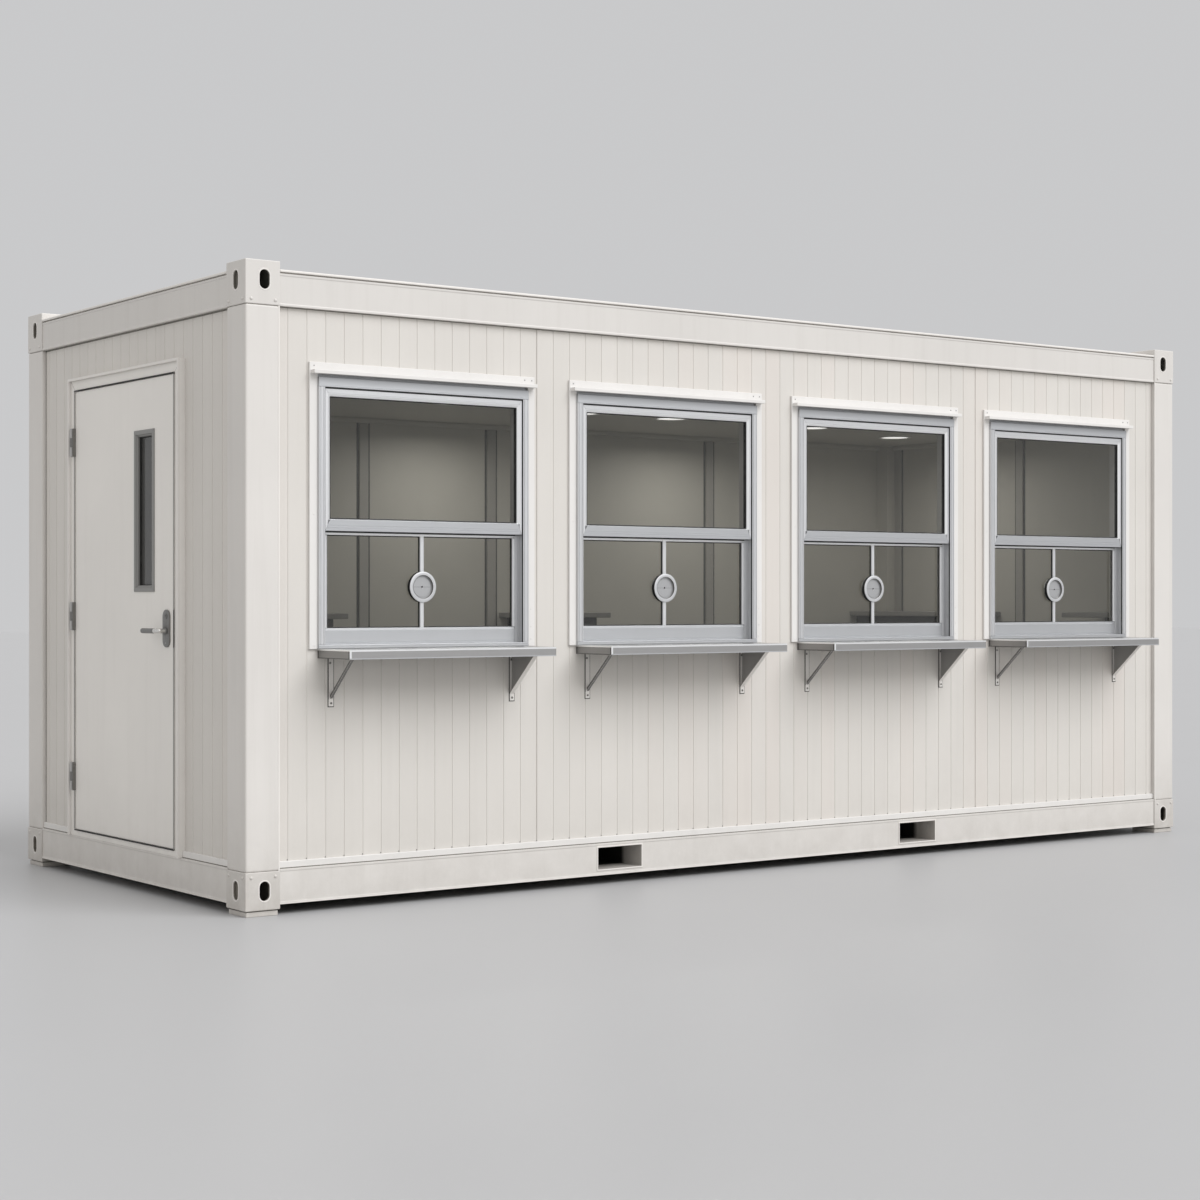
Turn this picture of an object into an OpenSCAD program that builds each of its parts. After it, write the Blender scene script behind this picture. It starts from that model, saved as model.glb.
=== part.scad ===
// Ticket booth: a twenty-foot steel cabin with four serving windows along one side
// and a door in its left end. Millimetres, +X right, +Y back, +Z up, ground at Z = 0.
// The origin is on the ground under the middle of the whole outline, which takes in the
// shelves at the front and the door's lever at the left.

/* [Cabin] */
// Length over the corner castings
cabin_length = 6058; // [5980:10:7600]
// Width over the corner castings
cabin_width = 2438; // [2280:10:3000]
// Height from the underside to the top of the corner castings
cabin_height = 2800; // [2790:10:3300]
// Height of the foot plates under the castings
foot_height = 26; // [10:2:60]
// Distance of the foot plates' edges inside the castings
foot_inset = 8; // [2:1:20]

/* [Corner castings and posts] */
// Casting size along the cabin's length
casting_x = 168; // [150:1:180]
// Casting size along the cabin's width
casting_y = 182; // [150:1:190]
// Height of the lower castings
lower_casting_height = 166; // [150:2:190]
// Height of the upper castings
upper_casting_height = 192; // [160:2:220]
// Wall thickness of the castings
casting_wall = 14; // [8:1:24]
// Width of the oval lifting slots
slot_width = 50; // [40:1:64]
// Height of the oval lifting slots
slot_height = 85; // [60:1:100]
// Distance of a slot's middle from the cabin's corner
slot_offset = 92; // [80:1:100]
// Distance of a slot's middle from the casting's outer end
slot_level = 83; // [70:1:95]
// Distance of the posts' faces behind the castings' faces
post_inset = 2; // [0:1:10]

/* [Rails] */
// Distance of the rails' faces behind the castings' faces
rail_inset = 4; // [0:1:15]
// Depth of the rails
rail_depth = 60; // [40:2:80]
// Clearance under the bottom rails, above the foot plates
bottom_rail_lift = 20; // [5:1:30]
// Height of the bottom rails
bottom_rail_height = 152; // [140:2:180]
// Height of the top rails
top_rail_height = 147; // [120:1:160]

/* [Fork tunnels] */
// Distance between the middles of the two fork tunnels
fork_spacing = 1978; // [900:2:2400]
// Shift of the fork tunnels from the cabin's middle
fork_shift = -40; // [-60:1:60]
// Clear width of a fork tunnel
fork_width = 260; // [200:5:360]
// Clear height of a fork tunnel
fork_clear = 104; // [90:1:110]
// Wall thickness of a fork tunnel
fork_wall = 6; // [3:1:8]
// Height of a tunnel's floor above the bottom rails' underside
fork_lift = 28; // [20:1:32]

/* [Walls, floor and roof] */
// Distance of the wall panels behind the castings' faces
wall_recess = 25; // [10:1:40]
// Thickness of the wall panels
wall_thickness = 60; // [40:1:80]
// Height of the trim at the walls' foot
base_trim_height = 32; // [15:1:60]
// Distance the base trim stands out of the wall
base_trim_proud = 12; // [4:1:20]
// Thickness of the floor
floor_thickness = 32; // [22:1:40]
// Thickness of the sheet that closes the cabin's underside
underfloor_thickness = 6; // [2:1:6]
// Height of the ceiling above the floor
room_height = 2172; // [2130:1:2180]
// Thickness of the ceiling
ceiling_thickness = 30; // [12:1:60]
// Thickness of the roof sheet with its folded edge
roof_thickness = 11; // [5:1:20]
// Distance of the roof's edge behind the castings' faces
roof_inset = 1; // [0:1:10]

/* [Room trims and lights] */
// Height of the cornice under the ceiling
cornice_height = 27; // [15:1:50]
// Depth of the cornice
cornice_depth = 30; // [15:1:50]
// Width of the strips that cover the panel joints
strip_width = 60; // [30:1:80]
// Thickness of the cover strips
strip_thickness = 12; // [4:1:20]
// Diameter of the round ceiling lights
light_diameter = 210; // [120:5:300]
// Thickness of the ceiling lights
light_thickness = 6; // [4:1:30]

/* [Counter units in the room] */
// Height of a worktop's upper face above the floor
worktop_height = 1072; // [700:1:1100]
// Thickness of a worktop
worktop_thickness = 30; // [18:1:50]
// Depth of a worktop from the wall
worktop_depth = 330; // [250:5:500]
// Overhang of a worktop past its cabinet
worktop_overhang = 60; // [10:1:80]
// Knee space at the end of the front unit, under its worktop
knee_space = 280; // [150:10:300]

/* [Serving windows] */
// Distance between the middles of neighbouring windows
window_pitch = 1392; // [1300:2:1500]
// Shift of the window row from the cabin's middle
window_shift = -28; // [-60:1:60]
// Width over a window's white casing
casing_width = 1191; // [1000:1:1250]
// Width of the casing's side trims
casing_side = 41; // [25:1:60]
// Distance the casing stands out of the wall
casing_proud = 12; // [6:1:20]
// Height of the window's foot above the underside of the castings
window_foot = 1121; // [900:1:1200]
// Height of the window frame
window_height = 1205; // [1000:1:1230]
// Height of the drip cap over a window
cap_height = 52; // [30:1:60]
// Distance the cap's lip reaches past the casing
cap_lip_reach = 35; // [10:1:60]
// Height of the cap's lip
cap_lip_height = 17; // [8:1:25]
// Distance of the lip's ends inside the casing's ends
cap_lip_inset = 6; // [0:1:30]
// Distance the aluminium frame stands out of the wall
frame_proud = 24; // [13:1:30]
// Width of the frame's side bars
frame_side = 31; // [20:1:50]
// Height of the frame's head bar
frame_head = 55; // [30:1:70]
// Height of the frame's sill bar
frame_sill = 19; // [12:1:40]
// Depth of the front part of the frame, which holds the upper sash
frame_front_depth = 37; // [34:1:44]
// Extra width of the side bars behind the upper sash, which guides the lower sash
track_width = 19; // [8:1:30]

/* [Upper sash] */
// Distance of the upper sash behind the frame's face
upper_sash_recess = 7; // [2:1:12]
// Clearance beside the upper sash
upper_sash_gap = 2; // [1:0.5:4]
// Clearance over the upper sash
upper_sash_top_gap = 6; // [2:0.5:10]
// Height of the upper sash
upper_sash_height = 625; // [450:1:680]
// Width of the upper sash's side and top bars
upper_sash_bar = 27; // [20:1:45]
// Height of the upper sash's top bar
upper_sash_head = 34; // [20:1:50]
// Height of the meeting rail
meeting_rail = 53; // [30:1:70]
// Thickness of the glass panes
glass_thickness = 6; // [4:1:8]

/* [Lower sash] */
// Distance of the lower sash behind the front part of the frame
lower_sash_recess = 4; // [2:1:8]
// Thickness of the lower sash
lower_sash_depth = 22; // [20:1:30]
// Clearance beside the lower sash
lower_sash_gap = 1; // [0.5:0.5:3]
// Width of the lower sash's side and top bars
lower_sash_bar = 13; // [8:1:25]
// Height of the lower sash's bottom rail
lower_sash_rail = 72; // [40:1:90]
// Distance of the lower sash's top above the meeting rail's foot
sash_step = -3; // [-6:1:0]
// Width of the upright glazing bar
glazing_bar = 21; // [12:1:40]

/* [Voice ports] */
// Diameter of the round voice port
port_diameter = 140; // [100:1:180]
// Diameter of the port's recessed dish
port_dish_diameter = 108; // [70:1:110]
// Depth of the recessed dish
port_dish_depth = 9; // [4:1:14]
// Thickness of the port's flange in front of the glass
port_flange = 21; // [18:1:24]
// Diameter of the clamping ring behind the glass
port_ring_diameter = 130; // [114:1:140]
// Diameter of the voice port's barrel, where it passes the glass
port_barrel_diameter = 100; // [60:1:110]
// Thickness of the clamping ring
port_ring_thickness = 9; // [4:1:12]
// Diameter of the hole in the middle of the dish
port_hole = 6; // [3:1:12]
// Height of the port's middle above the lower glass's foot
port_height = 183; // [110:1:250]
// Clearance round the port where it passes the glazing bar and the glass
port_clearance = 1; // [0.5:0.5:2]

/* [Shelves and brackets] */
// Length of a counter shelf
shelf_length = 1078; // [900:2:1190]
// Thickness of a counter shelf
shelf_thickness = 40; // [25:1:50]
// Reach of a shelf past the castings' faces
shelf_reach = 258; // [200:1:350]
// Shift of a shelf from its window's middle
shelf_shift = -10; // [-30:1:30]
// Distance between the two brackets of a shelf
bracket_spacing = 958; // [700:2:1040]
// Shift of the brackets from the window's middle
bracket_shift = -5; // [-15:1:15]
// Width of a bracket's wall leg
bracket_width = 24; // [16:1:40]
// Thickness of the brackets' metal
bracket_metal = 4; // [3:0.5:6]
// Reach of a bracket under the shelf
bracket_reach = 196; // [140:1:260]
// Height of a bracket's wall leg
bracket_height = 213; // [160:1:300]
// Length of the screw tab under the strut
bracket_tab = 34; // [24:1:50]
// Upright depth of the strut
strut_depth = 16; // [8:1:24]
// Upright depth of the flange along the gusset's edge
gusset_flange = 6; // [4:1:10]

/* [Door] */
// Distance of the door frame's front edge from the cabin's front
door_front = 641; // [300:1:700]
// Width over the door frame
door_frame_width = 1255; // [1000:1:1500]
// Height of the door frame's top above the underside of the castings
door_frame_top = 2430; // [2100:1:2500]
// Width of the frame's face at the sides and the top
door_band = 59; // [40:1:70]
// Height of the door's sill
door_sill = 26; // [15:1:40]
// Distance of the door frame's face behind the castings' faces
door_face = 3; // [0:1:10]
// Width of the raised bead round the frame
bead_width = 10; // [5:1:12]
// Height of the raised bead
bead_height = 5; // [2:1:6]
// Thickness of the door leaf
leaf_thickness = 44; // [38:1:50]
// Distance of the leaf's face behind the frame's face
leaf_recess = 1; // [0:1:4]
// Clearance all round the leaf
leaf_gap = 8; // [7:0.5:10]
// Clearance between the leaf and the stop behind it
stop_gap = 5; // [5:0.5:8]
// Distance the stop reaches over the leaf's edge
stop_width = 15; // [10:1:25]

/* [Vision panel] */
// Distance of the vision panel from the leaf's latch edge
vision_offset = 208; // [170:1:300]
// Width over the vision panel's frame
vision_width = 219; // [150:1:300]
// Height over the vision panel's frame
vision_height = 754; // [400:1:900]
// Height of the vision panel's foot above the leaf's foot
vision_foot = 1168; // [1130:1:1200]
// Width of the vision panel's frame
vision_bar = 30; // [20:1:45]
// Width of the frame's flange over the leaf
vision_flange = 10; // [5:1:14]
// Distance the flange stands out of the leaf
vision_proud = 5; // [2:1:6]

/* [Door handle] */
// Distance of the spindle from the leaf's latch edge
spindle_offset = 76; // [60:1:90]
// Height of the spindle above the leaf's foot
spindle_height = 989; // [940:1:1040]
// Width of the handle's back plate
plate_width = 72; // [68:1:90]
// Height of the handle's back plate
plate_height = 172; // [140:1:240]
// Corner radius of the back plate
plate_radius = 33; // [10:1:33]
// Thickness of the back plate
plate_thickness = 6; // [4:1:10]
// Distance of the plate's middle above the spindle
plate_rise = 11; // [0:1:30]
// Diameter of the lever's arm and neck
lever_diameter = 24; // [19:1:24]
// Diameter of the spindle in its bearings
spindle_diameter = 18; // [12:1:18]
// Running clearance of the spindle in the plates, on the radius
spindle_clearance = 0.05; // [0.03:0.01:0.1]
// Distance of the arm's middle from the plate
lever_reach = 50; // [40:1:65]
// Length of the arm from the spindle to its tip
lever_length = 154; // [110:1:170]
// Clearance between the lever's neck and its plate
neck_clearance = 0.3; // [0.2:0.1:0.5]

/* [Hinges] */
// Height of a hinge
hinge_height = 138; // [90:3:150]
// Radius of the hinge knuckles
knuckle_radius = 9; // [7:0.5:10]
// Radius of the hinge pin
pin_radius = 4; // [3:0.5:5]
// Running clearance of the pin, on the radius
pin_clearance = 0.05; // [0.03:0.01:0.1]
// Distance of the hinge pin beyond the frame's inner edge
pin_offset = 11; // [10.5:0.5:14]
// Distance of the hinge pin in front of the frame's face
pin_stand = 12; // [12:0.5:14]
// Clearance between the knuckles along the pin
knuckle_gap = 0.5; // [0.3:0.1:1]
// Thickness of the hinge plates
hinge_metal = 3; // [2:0.5:3]
// Length of the hinge plate on the frame's face, from the pin
hinge_plate = 34; // [20:1:36]
// Thickness of the strike plate
strike_thickness = 1.5; // [1:0.5:1.5]

/* [Hidden] */

$fn = 48;
eps = 1; // how far a cutting shape runs past the face it cuts

wall_white = [0.88, 0.87, 0.85];
casing_white = [0.95, 0.95, 0.94];
door_grey = [0.80, 0.80, 0.78];
frame_silver = [0.74, 0.75, 0.77];
steel_grey = [0.62, 0.62, 0.62];
handle_grey = [0.50, 0.50, 0.49];
glass_grey = [0.35, 0.37, 0.37, 0.6];
room_grey = [0.72, 0.71, 0.68];
dark_grey = [0.25, 0.26, 0.26];
light_white = [1, 1, 0.98];

// Cabin outline: the lever reaches past it towards -X and the shelves towards -Y
lever_out = lever_reach + plate_thickness + lever_diameter / 2 - leaf_recess - door_face;
x_left = (lever_out - cabin_length) / 2;
x_right = x_left + cabin_length;
x_middle = (x_left + x_right) / 2;
y_front = (shelf_reach - cabin_width) / 2;
y_back = y_front + cabin_width;
y_middle = (y_front + y_back) / 2;

// Levels
z_base = foot_height;
z_top = z_base + cabin_height;
z_lower_casting = z_base + lower_casting_height;
z_upper_casting = z_top - upper_casting_height;
z_rail_foot = z_base + bottom_rail_lift;
z_rail_top = z_rail_foot + bottom_rail_height;
z_roof_foot = z_upper_casting + top_rail_height;
z_tunnel = z_rail_foot + fork_lift;
z_tunnel_top = z_tunnel + fork_clear + fork_wall;
z_floor = z_tunnel_top + floor_thickness;
z_ceiling = z_floor + room_height;
z_cornice = z_ceiling - cornice_height;
z_worktop = z_floor + worktop_height;

// Wall planes: outer faces, and inner faces towards the room
wall_depth = wall_recess + wall_thickness;
room_left = x_left + wall_depth;
room_right = x_right - wall_depth;
room_front = y_front + wall_depth;
room_back = y_back - wall_depth;
post_x = casting_x - post_inset;
post_y = casting_y - post_inset;
bay_left = x_left + post_x;
bay_right = x_right - post_x;
bay_front = y_front + post_y;
bay_back = y_back - post_y;

// Places of what repeats
window_middles = [for (i = [-1.5:1:1.5]) x_middle + window_shift + i * window_pitch];
fork_middles = [for (side = [-1, 1]) x_middle + fork_shift + side * fork_spacing / 2];
light_places = [[-1237, -24], [-307, 106], [305, 91], [1398, 131], [2340, 416]]; // from the cabin's middle
back_strip_places = [-1092, -230, 1415]; // from the cabin's middle
right_strip_places = [1136, 2228]; // from the cabin's front
// Worktops' ends: along the back wall from the cabin's middle, along the right wall from its front
back_units = [[-1990, -1373], [-174, 406]];
front_unit_end = 498;
rear_unit_start = 1303;

// Window levels and planes
z_window = z_base + window_foot;
z_window_top = z_window + window_height;
frame_width = casing_width - 2 * casing_side;
y_wall = y_front + wall_recess;
y_casing = y_wall - casing_proud;
y_frame = y_wall - frame_proud;
y_track = y_frame + frame_front_depth;
y_frame_back = room_front;
z_frame_sill = z_window + frame_sill;
z_frame_head = z_window_top - frame_head;

y_upper_sash = y_frame + upper_sash_recess;
upper_sash_width = frame_width - 2 * (frame_side + upper_sash_gap);
z_upper_sash_top = z_frame_head - upper_sash_top_gap;
z_upper_sash = z_upper_sash_top - upper_sash_height;
upper_glass_width = upper_sash_width - 2 * upper_sash_bar;
z_upper_glass = z_upper_sash + meeting_rail;
z_upper_glass_top = z_upper_sash_top - upper_sash_head;
y_upper_glass = y_upper_sash + (y_track - y_upper_sash - glass_thickness) / 2;

track_opening = frame_width - 2 * (frame_side + track_width);
lower_sash_width = track_opening - 2 * lower_sash_gap;
y_lower_sash = y_track + lower_sash_recess;
z_lower_sash_top = z_upper_sash + sash_step;
z_lower_glass = z_frame_sill + lower_sash_rail;
z_lower_glass_top = z_lower_sash_top - lower_sash_bar;
lower_glass_width = lower_sash_width - 2 * lower_sash_bar;
y_lower_glass = y_lower_sash + lower_sash_depth - glass_thickness;
z_port = z_lower_glass + port_height;
port_radius = port_diameter / 2;
port_dish_radius = port_dish_diameter / 2;
port_barrel_radius = port_barrel_diameter / 2;

z_shelf = z_window - shelf_thickness;

// Door planes: the leaf lies along Y and faces -X
x_door_face = x_left + door_face;
door_start = y_front + door_front;
door_end = door_start + door_frame_width;
z_door_top = z_base + door_frame_top;
z_door_sill = z_rail_top + door_sill;
opening_start = door_start + door_band;
opening_end = door_end - door_band;
opening_top = z_door_top - door_band;
leaf_start = opening_start + leaf_gap;
leaf_end = opening_end - leaf_gap;
leaf_foot = z_door_sill + leaf_gap;
leaf_top = opening_top - leaf_gap;
x_leaf = x_door_face + leaf_recess;
x_leaf_back = x_leaf + leaf_thickness;
x_stop = x_leaf_back + stop_gap;

vision_start = leaf_start + vision_offset;
vision_end = vision_start + vision_width;
z_vision = leaf_foot + vision_foot;
z_vision_top = z_vision + vision_height;

y_spindle = leaf_start + spindle_offset;
z_spindle = leaf_foot + spindle_height;
spindle_radius = spindle_diameter / 2;
lever_radius = lever_diameter / 2;
leaf_bore_radius = spindle_radius + 3;

x_pin = x_door_face - pin_stand;
y_pin = opening_end + pin_offset;
hinge_levels = [for (level = [465, 1256, 2114]) z_base + level];
knuckle_height = hinge_height / 3;

// A box from one corner to the opposite one
module block(low, high) {
    translate(low)
        cube(high - low);
}

// One child at each corner of the cabin, mirrored so that +X and +Y point inwards
module at_corners() {
    for (mirror_x = [0, 1], mirror_y = [0, 1])
        translate([mirror_x == 0 ? x_left : x_right, mirror_y == 0 ? y_front : y_back, 0])
            mirror([mirror_x, 0, 0])
                mirror([0, mirror_y, 0])
                    children();
}

// The room's outline between the walls, notched round the corner posts
module room_slab(z_low, z_high) {
    difference() {
        block([room_left, room_front, z_low], [room_right, room_back, z_high]);
        at_corners()
            block([0, 0, z_low - eps], [post_x, post_y, z_high + eps]);
    }
}

// An upright rectangular ring in the XZ plane, centred on X = 0
module window_ring(width, z_low, z_high, side, foot, head, y_low, y_high) {
    difference() {
        block([-width / 2, y_low, z_low], [width / 2, y_high, z_high]);
        block([-width / 2 + side, y_low - eps, z_low + foot],
            [width / 2 - side, y_high + eps, z_high - head]);
    }
}

module at_windows() {
    for (x = window_middles)
        translate([x, 0, 0])
            children();
}

// ---- Frame of the cabin

module foot_plates() {
    color(wall_white)
        at_corners()
            block([foot_inset, foot_inset, 0],
                [casting_x - foot_inset, casting_y - foot_inset, foot_height]);
}

// An upright oval through-hole along Y, with its middle at the origin
module oval_slot(depth) {
    rotate([90, 0, 0])
        linear_extrude(depth, center = true) {
            square([slot_width, slot_height - slot_width], center = true);
            for (side = [-1, 1])
                translate([0, side * (slot_height - slot_width) / 2])
                    circle(d = slot_width);
        }
}

// A hollow casting with an oval slot in each outer face
module casting(height, slot_z) {
    difference() {
        cube([casting_x, casting_y, height]);
        translate([casting_wall, casting_wall, casting_wall])
            cube([casting_x - 2 * casting_wall, casting_y - 2 * casting_wall, height - 2 * casting_wall]);
        translate([slot_offset, 0, slot_z])
            oval_slot(2 * casting_wall + eps);
        translate([0, slot_offset, slot_z])
            rotate([0, 0, 90])
                oval_slot(2 * casting_wall + eps);
    }
}

module lower_castings() {
    color(wall_white)
        at_corners()
            translate([0, 0, z_base])
                casting(lower_casting_height, slot_level);
}

// The upper castings also have an oval lifting hole in their top
module upper_castings() {
    color(wall_white)
        at_corners()
            translate([0, 0, z_upper_casting])
                difference() {
                    casting(upper_casting_height, upper_casting_height - slot_level);
                    translate([casting_x / 2, casting_y / 2, upper_casting_height])
                        rotate([90, 0, 90])
                            oval_slot(2 * casting_wall + eps);
                }
}

module corner_posts() {
    color(wall_white)
        at_corners()
            block([post_inset, post_inset, z_lower_casting], [post_x, post_y, z_upper_casting]);
}

// A pair of rails along the two long sides
module side_rails(z_low, z_high) {
    for (y = [y_front + rail_inset, y_back - rail_inset - rail_depth])
        block([x_left + casting_x, y, z_low], [x_right - casting_x, y + rail_depth, z_high]);
}

// A pair of rails along the two ends
module end_rails(z_low, z_high) {
    for (x = [x_left + rail_inset, x_right - rail_inset - rail_depth])
        block([x, y_front + casting_y, z_low], [x + rail_depth, y_back - casting_y, z_high]);
}

module fork_solid(wall, y_low, y_high) {
    for (x = fork_middles)
        block([x - fork_width / 2 - wall, y_low, z_tunnel - wall],
            [x + fork_width / 2 + wall, y_high, z_tunnel + fork_clear + wall]);
}

module bottom_side_rails() {
    color(wall_white)
        difference() {
            side_rails(z_rail_foot, z_rail_top);
            fork_solid(fork_wall, y_front, y_back);
        }
}

module bottom_end_rails() {
    color(wall_white)
        end_rails(z_rail_foot, z_rail_top);
}

module top_side_rails() {
    color(wall_white)
        side_rails(z_upper_casting, z_roof_foot);
}

module top_end_rails() {
    color(wall_white)
        end_rails(z_upper_casting, z_roof_foot);
}

module fork_tunnels() {
    color(wall_white)
        difference() {
            fork_solid(fork_wall, y_front + rail_inset, y_back - rail_inset);
            fork_solid(0, y_front, y_back);
        }
}

// ---- Floor, walls and roof

module underfloor_sheet() {
    rail_side = rail_inset + rail_depth;
    z_sheet_top = z_tunnel - fork_wall;
    color(dark_grey)
        difference() {
            block([x_left + rail_side, y_front + rail_side, z_sheet_top - underfloor_thickness],
                [x_right - rail_side, y_back - rail_side, z_sheet_top]);
            at_corners()
                block([0, 0, 0], [casting_x, casting_y, z_sheet_top + eps]);
        }
}

module floor() {
    color(room_grey)
        difference() {
            room_slab(z_tunnel_top, z_floor);
            at_corners()
                block([0, 0, z_base], [casting_x, casting_y, z_lower_casting]);
        }
}

module base_trim() {
    trim = wall_recess - base_trim_proud;
    z_trim = z_rail_top + base_trim_height;
    color(casing_white) {
        block([bay_left, y_front + trim, z_rail_top], [bay_right, y_wall, z_trim]);
        block([bay_left, y_back - wall_recess, z_rail_top], [bay_right, y_back - trim, z_trim]);
        block([x_right - wall_recess, bay_front, z_rail_top], [x_right - trim, bay_back, z_trim]);
        block([x_left + trim, bay_front, z_rail_top], [x_left + wall_recess, door_start, z_trim]);
        block([x_left + trim, door_end, z_rail_top], [x_left + wall_recess, bay_back, z_trim]);
    }
}

module front_wall() {
    color(wall_white)
        difference() {
            block([bay_left, y_wall, z_rail_top], [bay_right, room_front, z_upper_casting]);
            at_windows()
                block([-frame_width / 2, y_wall - eps, z_window],
                    [frame_width / 2, room_front + eps, z_window_top]);
        }
}

module back_wall() {
    color(wall_white)
        block([bay_left, room_back, z_rail_top], [bay_right, y_back - wall_recess, z_upper_casting]);
}

module right_wall() {
    color(wall_white)
        block([room_right, bay_front, z_rail_top], [x_right - wall_recess, bay_back, z_upper_casting]);
}

module left_wall_part(y_low, y_high, z_low) {
    color(wall_white)
        block([x_left + wall_recess, y_low, z_low], [room_left, y_high, z_upper_casting]);
}

module left_wall_front() {
    left_wall_part(bay_front, door_start, z_rail_top);
}

module left_wall_rear() {
    left_wall_part(door_end, bay_back, z_rail_top);
}

module left_wall_over_door() {
    left_wall_part(door_start, door_end, z_door_top);
}

// The main roof sheet lies between the castings at the two ends
module roof() {
    color(wall_white)
        block([x_left + casting_x, y_front + roof_inset, z_roof_foot],
            [x_right - casting_x, y_back - roof_inset, z_roof_foot + roof_thickness]);
}

// A strip over each top end rail carries the roof out to the cabin's ends
module roof_ends() {
    z_roof = z_roof_foot + roof_thickness;
    color(wall_white) {
        block([x_left + roof_inset, y_front + casting_y, z_roof_foot],
            [x_left + casting_x, y_back - casting_y, z_roof]);
        block([x_right - casting_x, y_front + casting_y, z_roof_foot],
            [x_right - roof_inset, y_back - casting_y, z_roof]);
    }
}

// ---- Room

module ceiling() {
    color(room_grey)
        room_slab(z_ceiling, z_ceiling + ceiling_thickness);
}

// Cornice bars between the corner posts, left out over the door
module cornice() {
    color(room_grey) {
        block([bay_left, room_front, z_cornice], [bay_right, room_front + cornice_depth, z_ceiling]);
        block([bay_left, room_back - cornice_depth, z_cornice], [bay_right, room_back, z_ceiling]);
        block([room_right - cornice_depth, bay_front, z_cornice], [room_right, bay_back, z_ceiling]);
        block([room_left, bay_front, z_cornice], [room_left + cornice_depth, door_start, z_ceiling]);
        block([room_left, door_end, z_cornice], [room_left + cornice_depth, bay_back, z_ceiling]);
    }
}

module cover_strips() {
    color(room_grey)
        difference() {
            union() {
                for (x = back_strip_places)
                    translate([x_middle + x, 0, 0])
                        block([-strip_width / 2, room_back - strip_thickness, z_floor],
                            [strip_width / 2, room_back, z_cornice]);
                for (y = right_strip_places)
                    block([room_right - strip_thickness, y_front + y - strip_width / 2, z_floor],
                        [room_right, y_front + y + strip_width / 2, z_cornice]);
            }
            counter_units(0, 0, z_floor - eps, z_worktop);
        }
}

module ceiling_lights() {
    color(light_white)
        for (place = light_places)
            translate([x_middle + place[0], y_middle + place[1], z_ceiling - light_thickness])
                cylinder(h = light_thickness, d = light_diameter);
}

// Two counter units along the back wall and one in each corner of the right wall, notched
// round the corner posts; the free ends and fronts lie back by inset, one end by knee
module counter_units(inset, knee, z_low, z_high) {
    difference() {
        union() {
            for (unit = back_units)
                translate([x_middle, 0, 0])
                    block([unit[0] + inset, room_back - worktop_depth + inset, z_low],
                        [unit[1] - inset, room_back, z_high]);
            block([room_right - worktop_depth + inset, room_front, z_low],
                [room_right, y_front + front_unit_end - knee, z_high]);
            block([room_right - worktop_depth + inset, y_front + rear_unit_start + inset, z_low],
                [room_right, room_back, z_high]);
        }
        at_corners()
            block([0, 0, z_low - eps], [post_x, post_y, z_high + eps]);
    }
}

module worktops() {
    color(room_grey)
        counter_units(0, 0, z_worktop - worktop_thickness, z_worktop);
}

module counter_cabinets() {
    color(dark_grey)
        counter_units(worktop_overhang, knee_space, z_floor, z_worktop - worktop_thickness);
}

// ---- Serving windows

// White casing: two side trims and a cap with a drip lip along its foot
module window_casing() {
    lip_width = casing_width - 2 * cap_lip_inset;
    for (side = [-1, 1])
        translate([side * (casing_width - casing_side) / 2, 0, 0])
            block([-casing_side / 2, y_casing, z_window], [casing_side / 2, y_wall, z_window_top]);
    block([-casing_width / 2, y_casing, z_window_top],
        [casing_width / 2, y_wall, z_window_top + cap_height]);
    block([-lip_width / 2, y_casing - cap_lip_reach, z_window_top],
        [lip_width / 2, y_casing + eps, z_window_top + cap_lip_height]);
}

module window_casings() {
    color(casing_white)
        at_windows()
            window_casing();
}

// Aluminium frame through the wall, with narrower sides in front of the lower sash's tracks
module window_frames() {
    color(frame_silver)
        at_windows() {
            window_ring(frame_width, z_window, z_window_top, frame_side, frame_sill, frame_head,
                y_frame, y_track);
            window_ring(frame_width, z_window, z_window_top, frame_side + track_width, frame_sill,
                frame_head, y_track, y_frame_back);
        }
}

module upper_sashes() {
    color(frame_silver)
        at_windows()
            window_ring(upper_sash_width, z_upper_sash, z_upper_sash_top, upper_sash_bar, meeting_rail,
                upper_sash_head, y_upper_sash, y_track);
}

module upper_glass() {
    color(glass_grey)
        at_windows()
            block([-upper_glass_width / 2, y_upper_glass, z_upper_glass],
                [upper_glass_width / 2, y_upper_glass + glass_thickness, z_upper_glass_top]);
}

// A cylinder along Y round the voice port's middle
module port_cylinder(radius, y_low, y_high) {
    translate([0, y_high, z_port])
        rotate([90, 0, 0])
            cylinder(h = y_high - y_low, r = radius);
}

module lower_sashes() {
    y_back_face = y_lower_sash + lower_sash_depth;
    color(frame_silver)
        at_windows()
            difference() {
                union() {
                    window_ring(lower_sash_width, z_frame_sill, z_lower_sash_top, lower_sash_bar,
                        lower_sash_rail, lower_sash_bar, y_lower_sash, y_back_face);
                    block([-glazing_bar / 2, y_lower_sash, z_lower_glass],
                        [glazing_bar / 2, y_back_face, z_lower_glass_top]);
                }
                port_cylinder(port_radius + port_clearance, y_lower_sash - eps, y_back_face + eps);
            }
}

// Two panes a window, one each side of the glazing bar, notched round the voice port
module lower_glass() {
    y_glass_back = y_lower_glass + glass_thickness;
    color(glass_grey)
        at_windows()
            difference() {
                for (side = [-1, 1])
                    translate([side * (lower_glass_width + glazing_bar) / 4, 0, 0])
                        block([-(lower_glass_width - glazing_bar) / 4, y_lower_glass, z_lower_glass],
                            [(lower_glass_width - glazing_bar) / 4, y_glass_back, z_lower_glass_top]);
                port_cylinder(port_barrel_radius + port_clearance, y_lower_glass - eps, y_glass_back + eps);
            }
}

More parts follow.
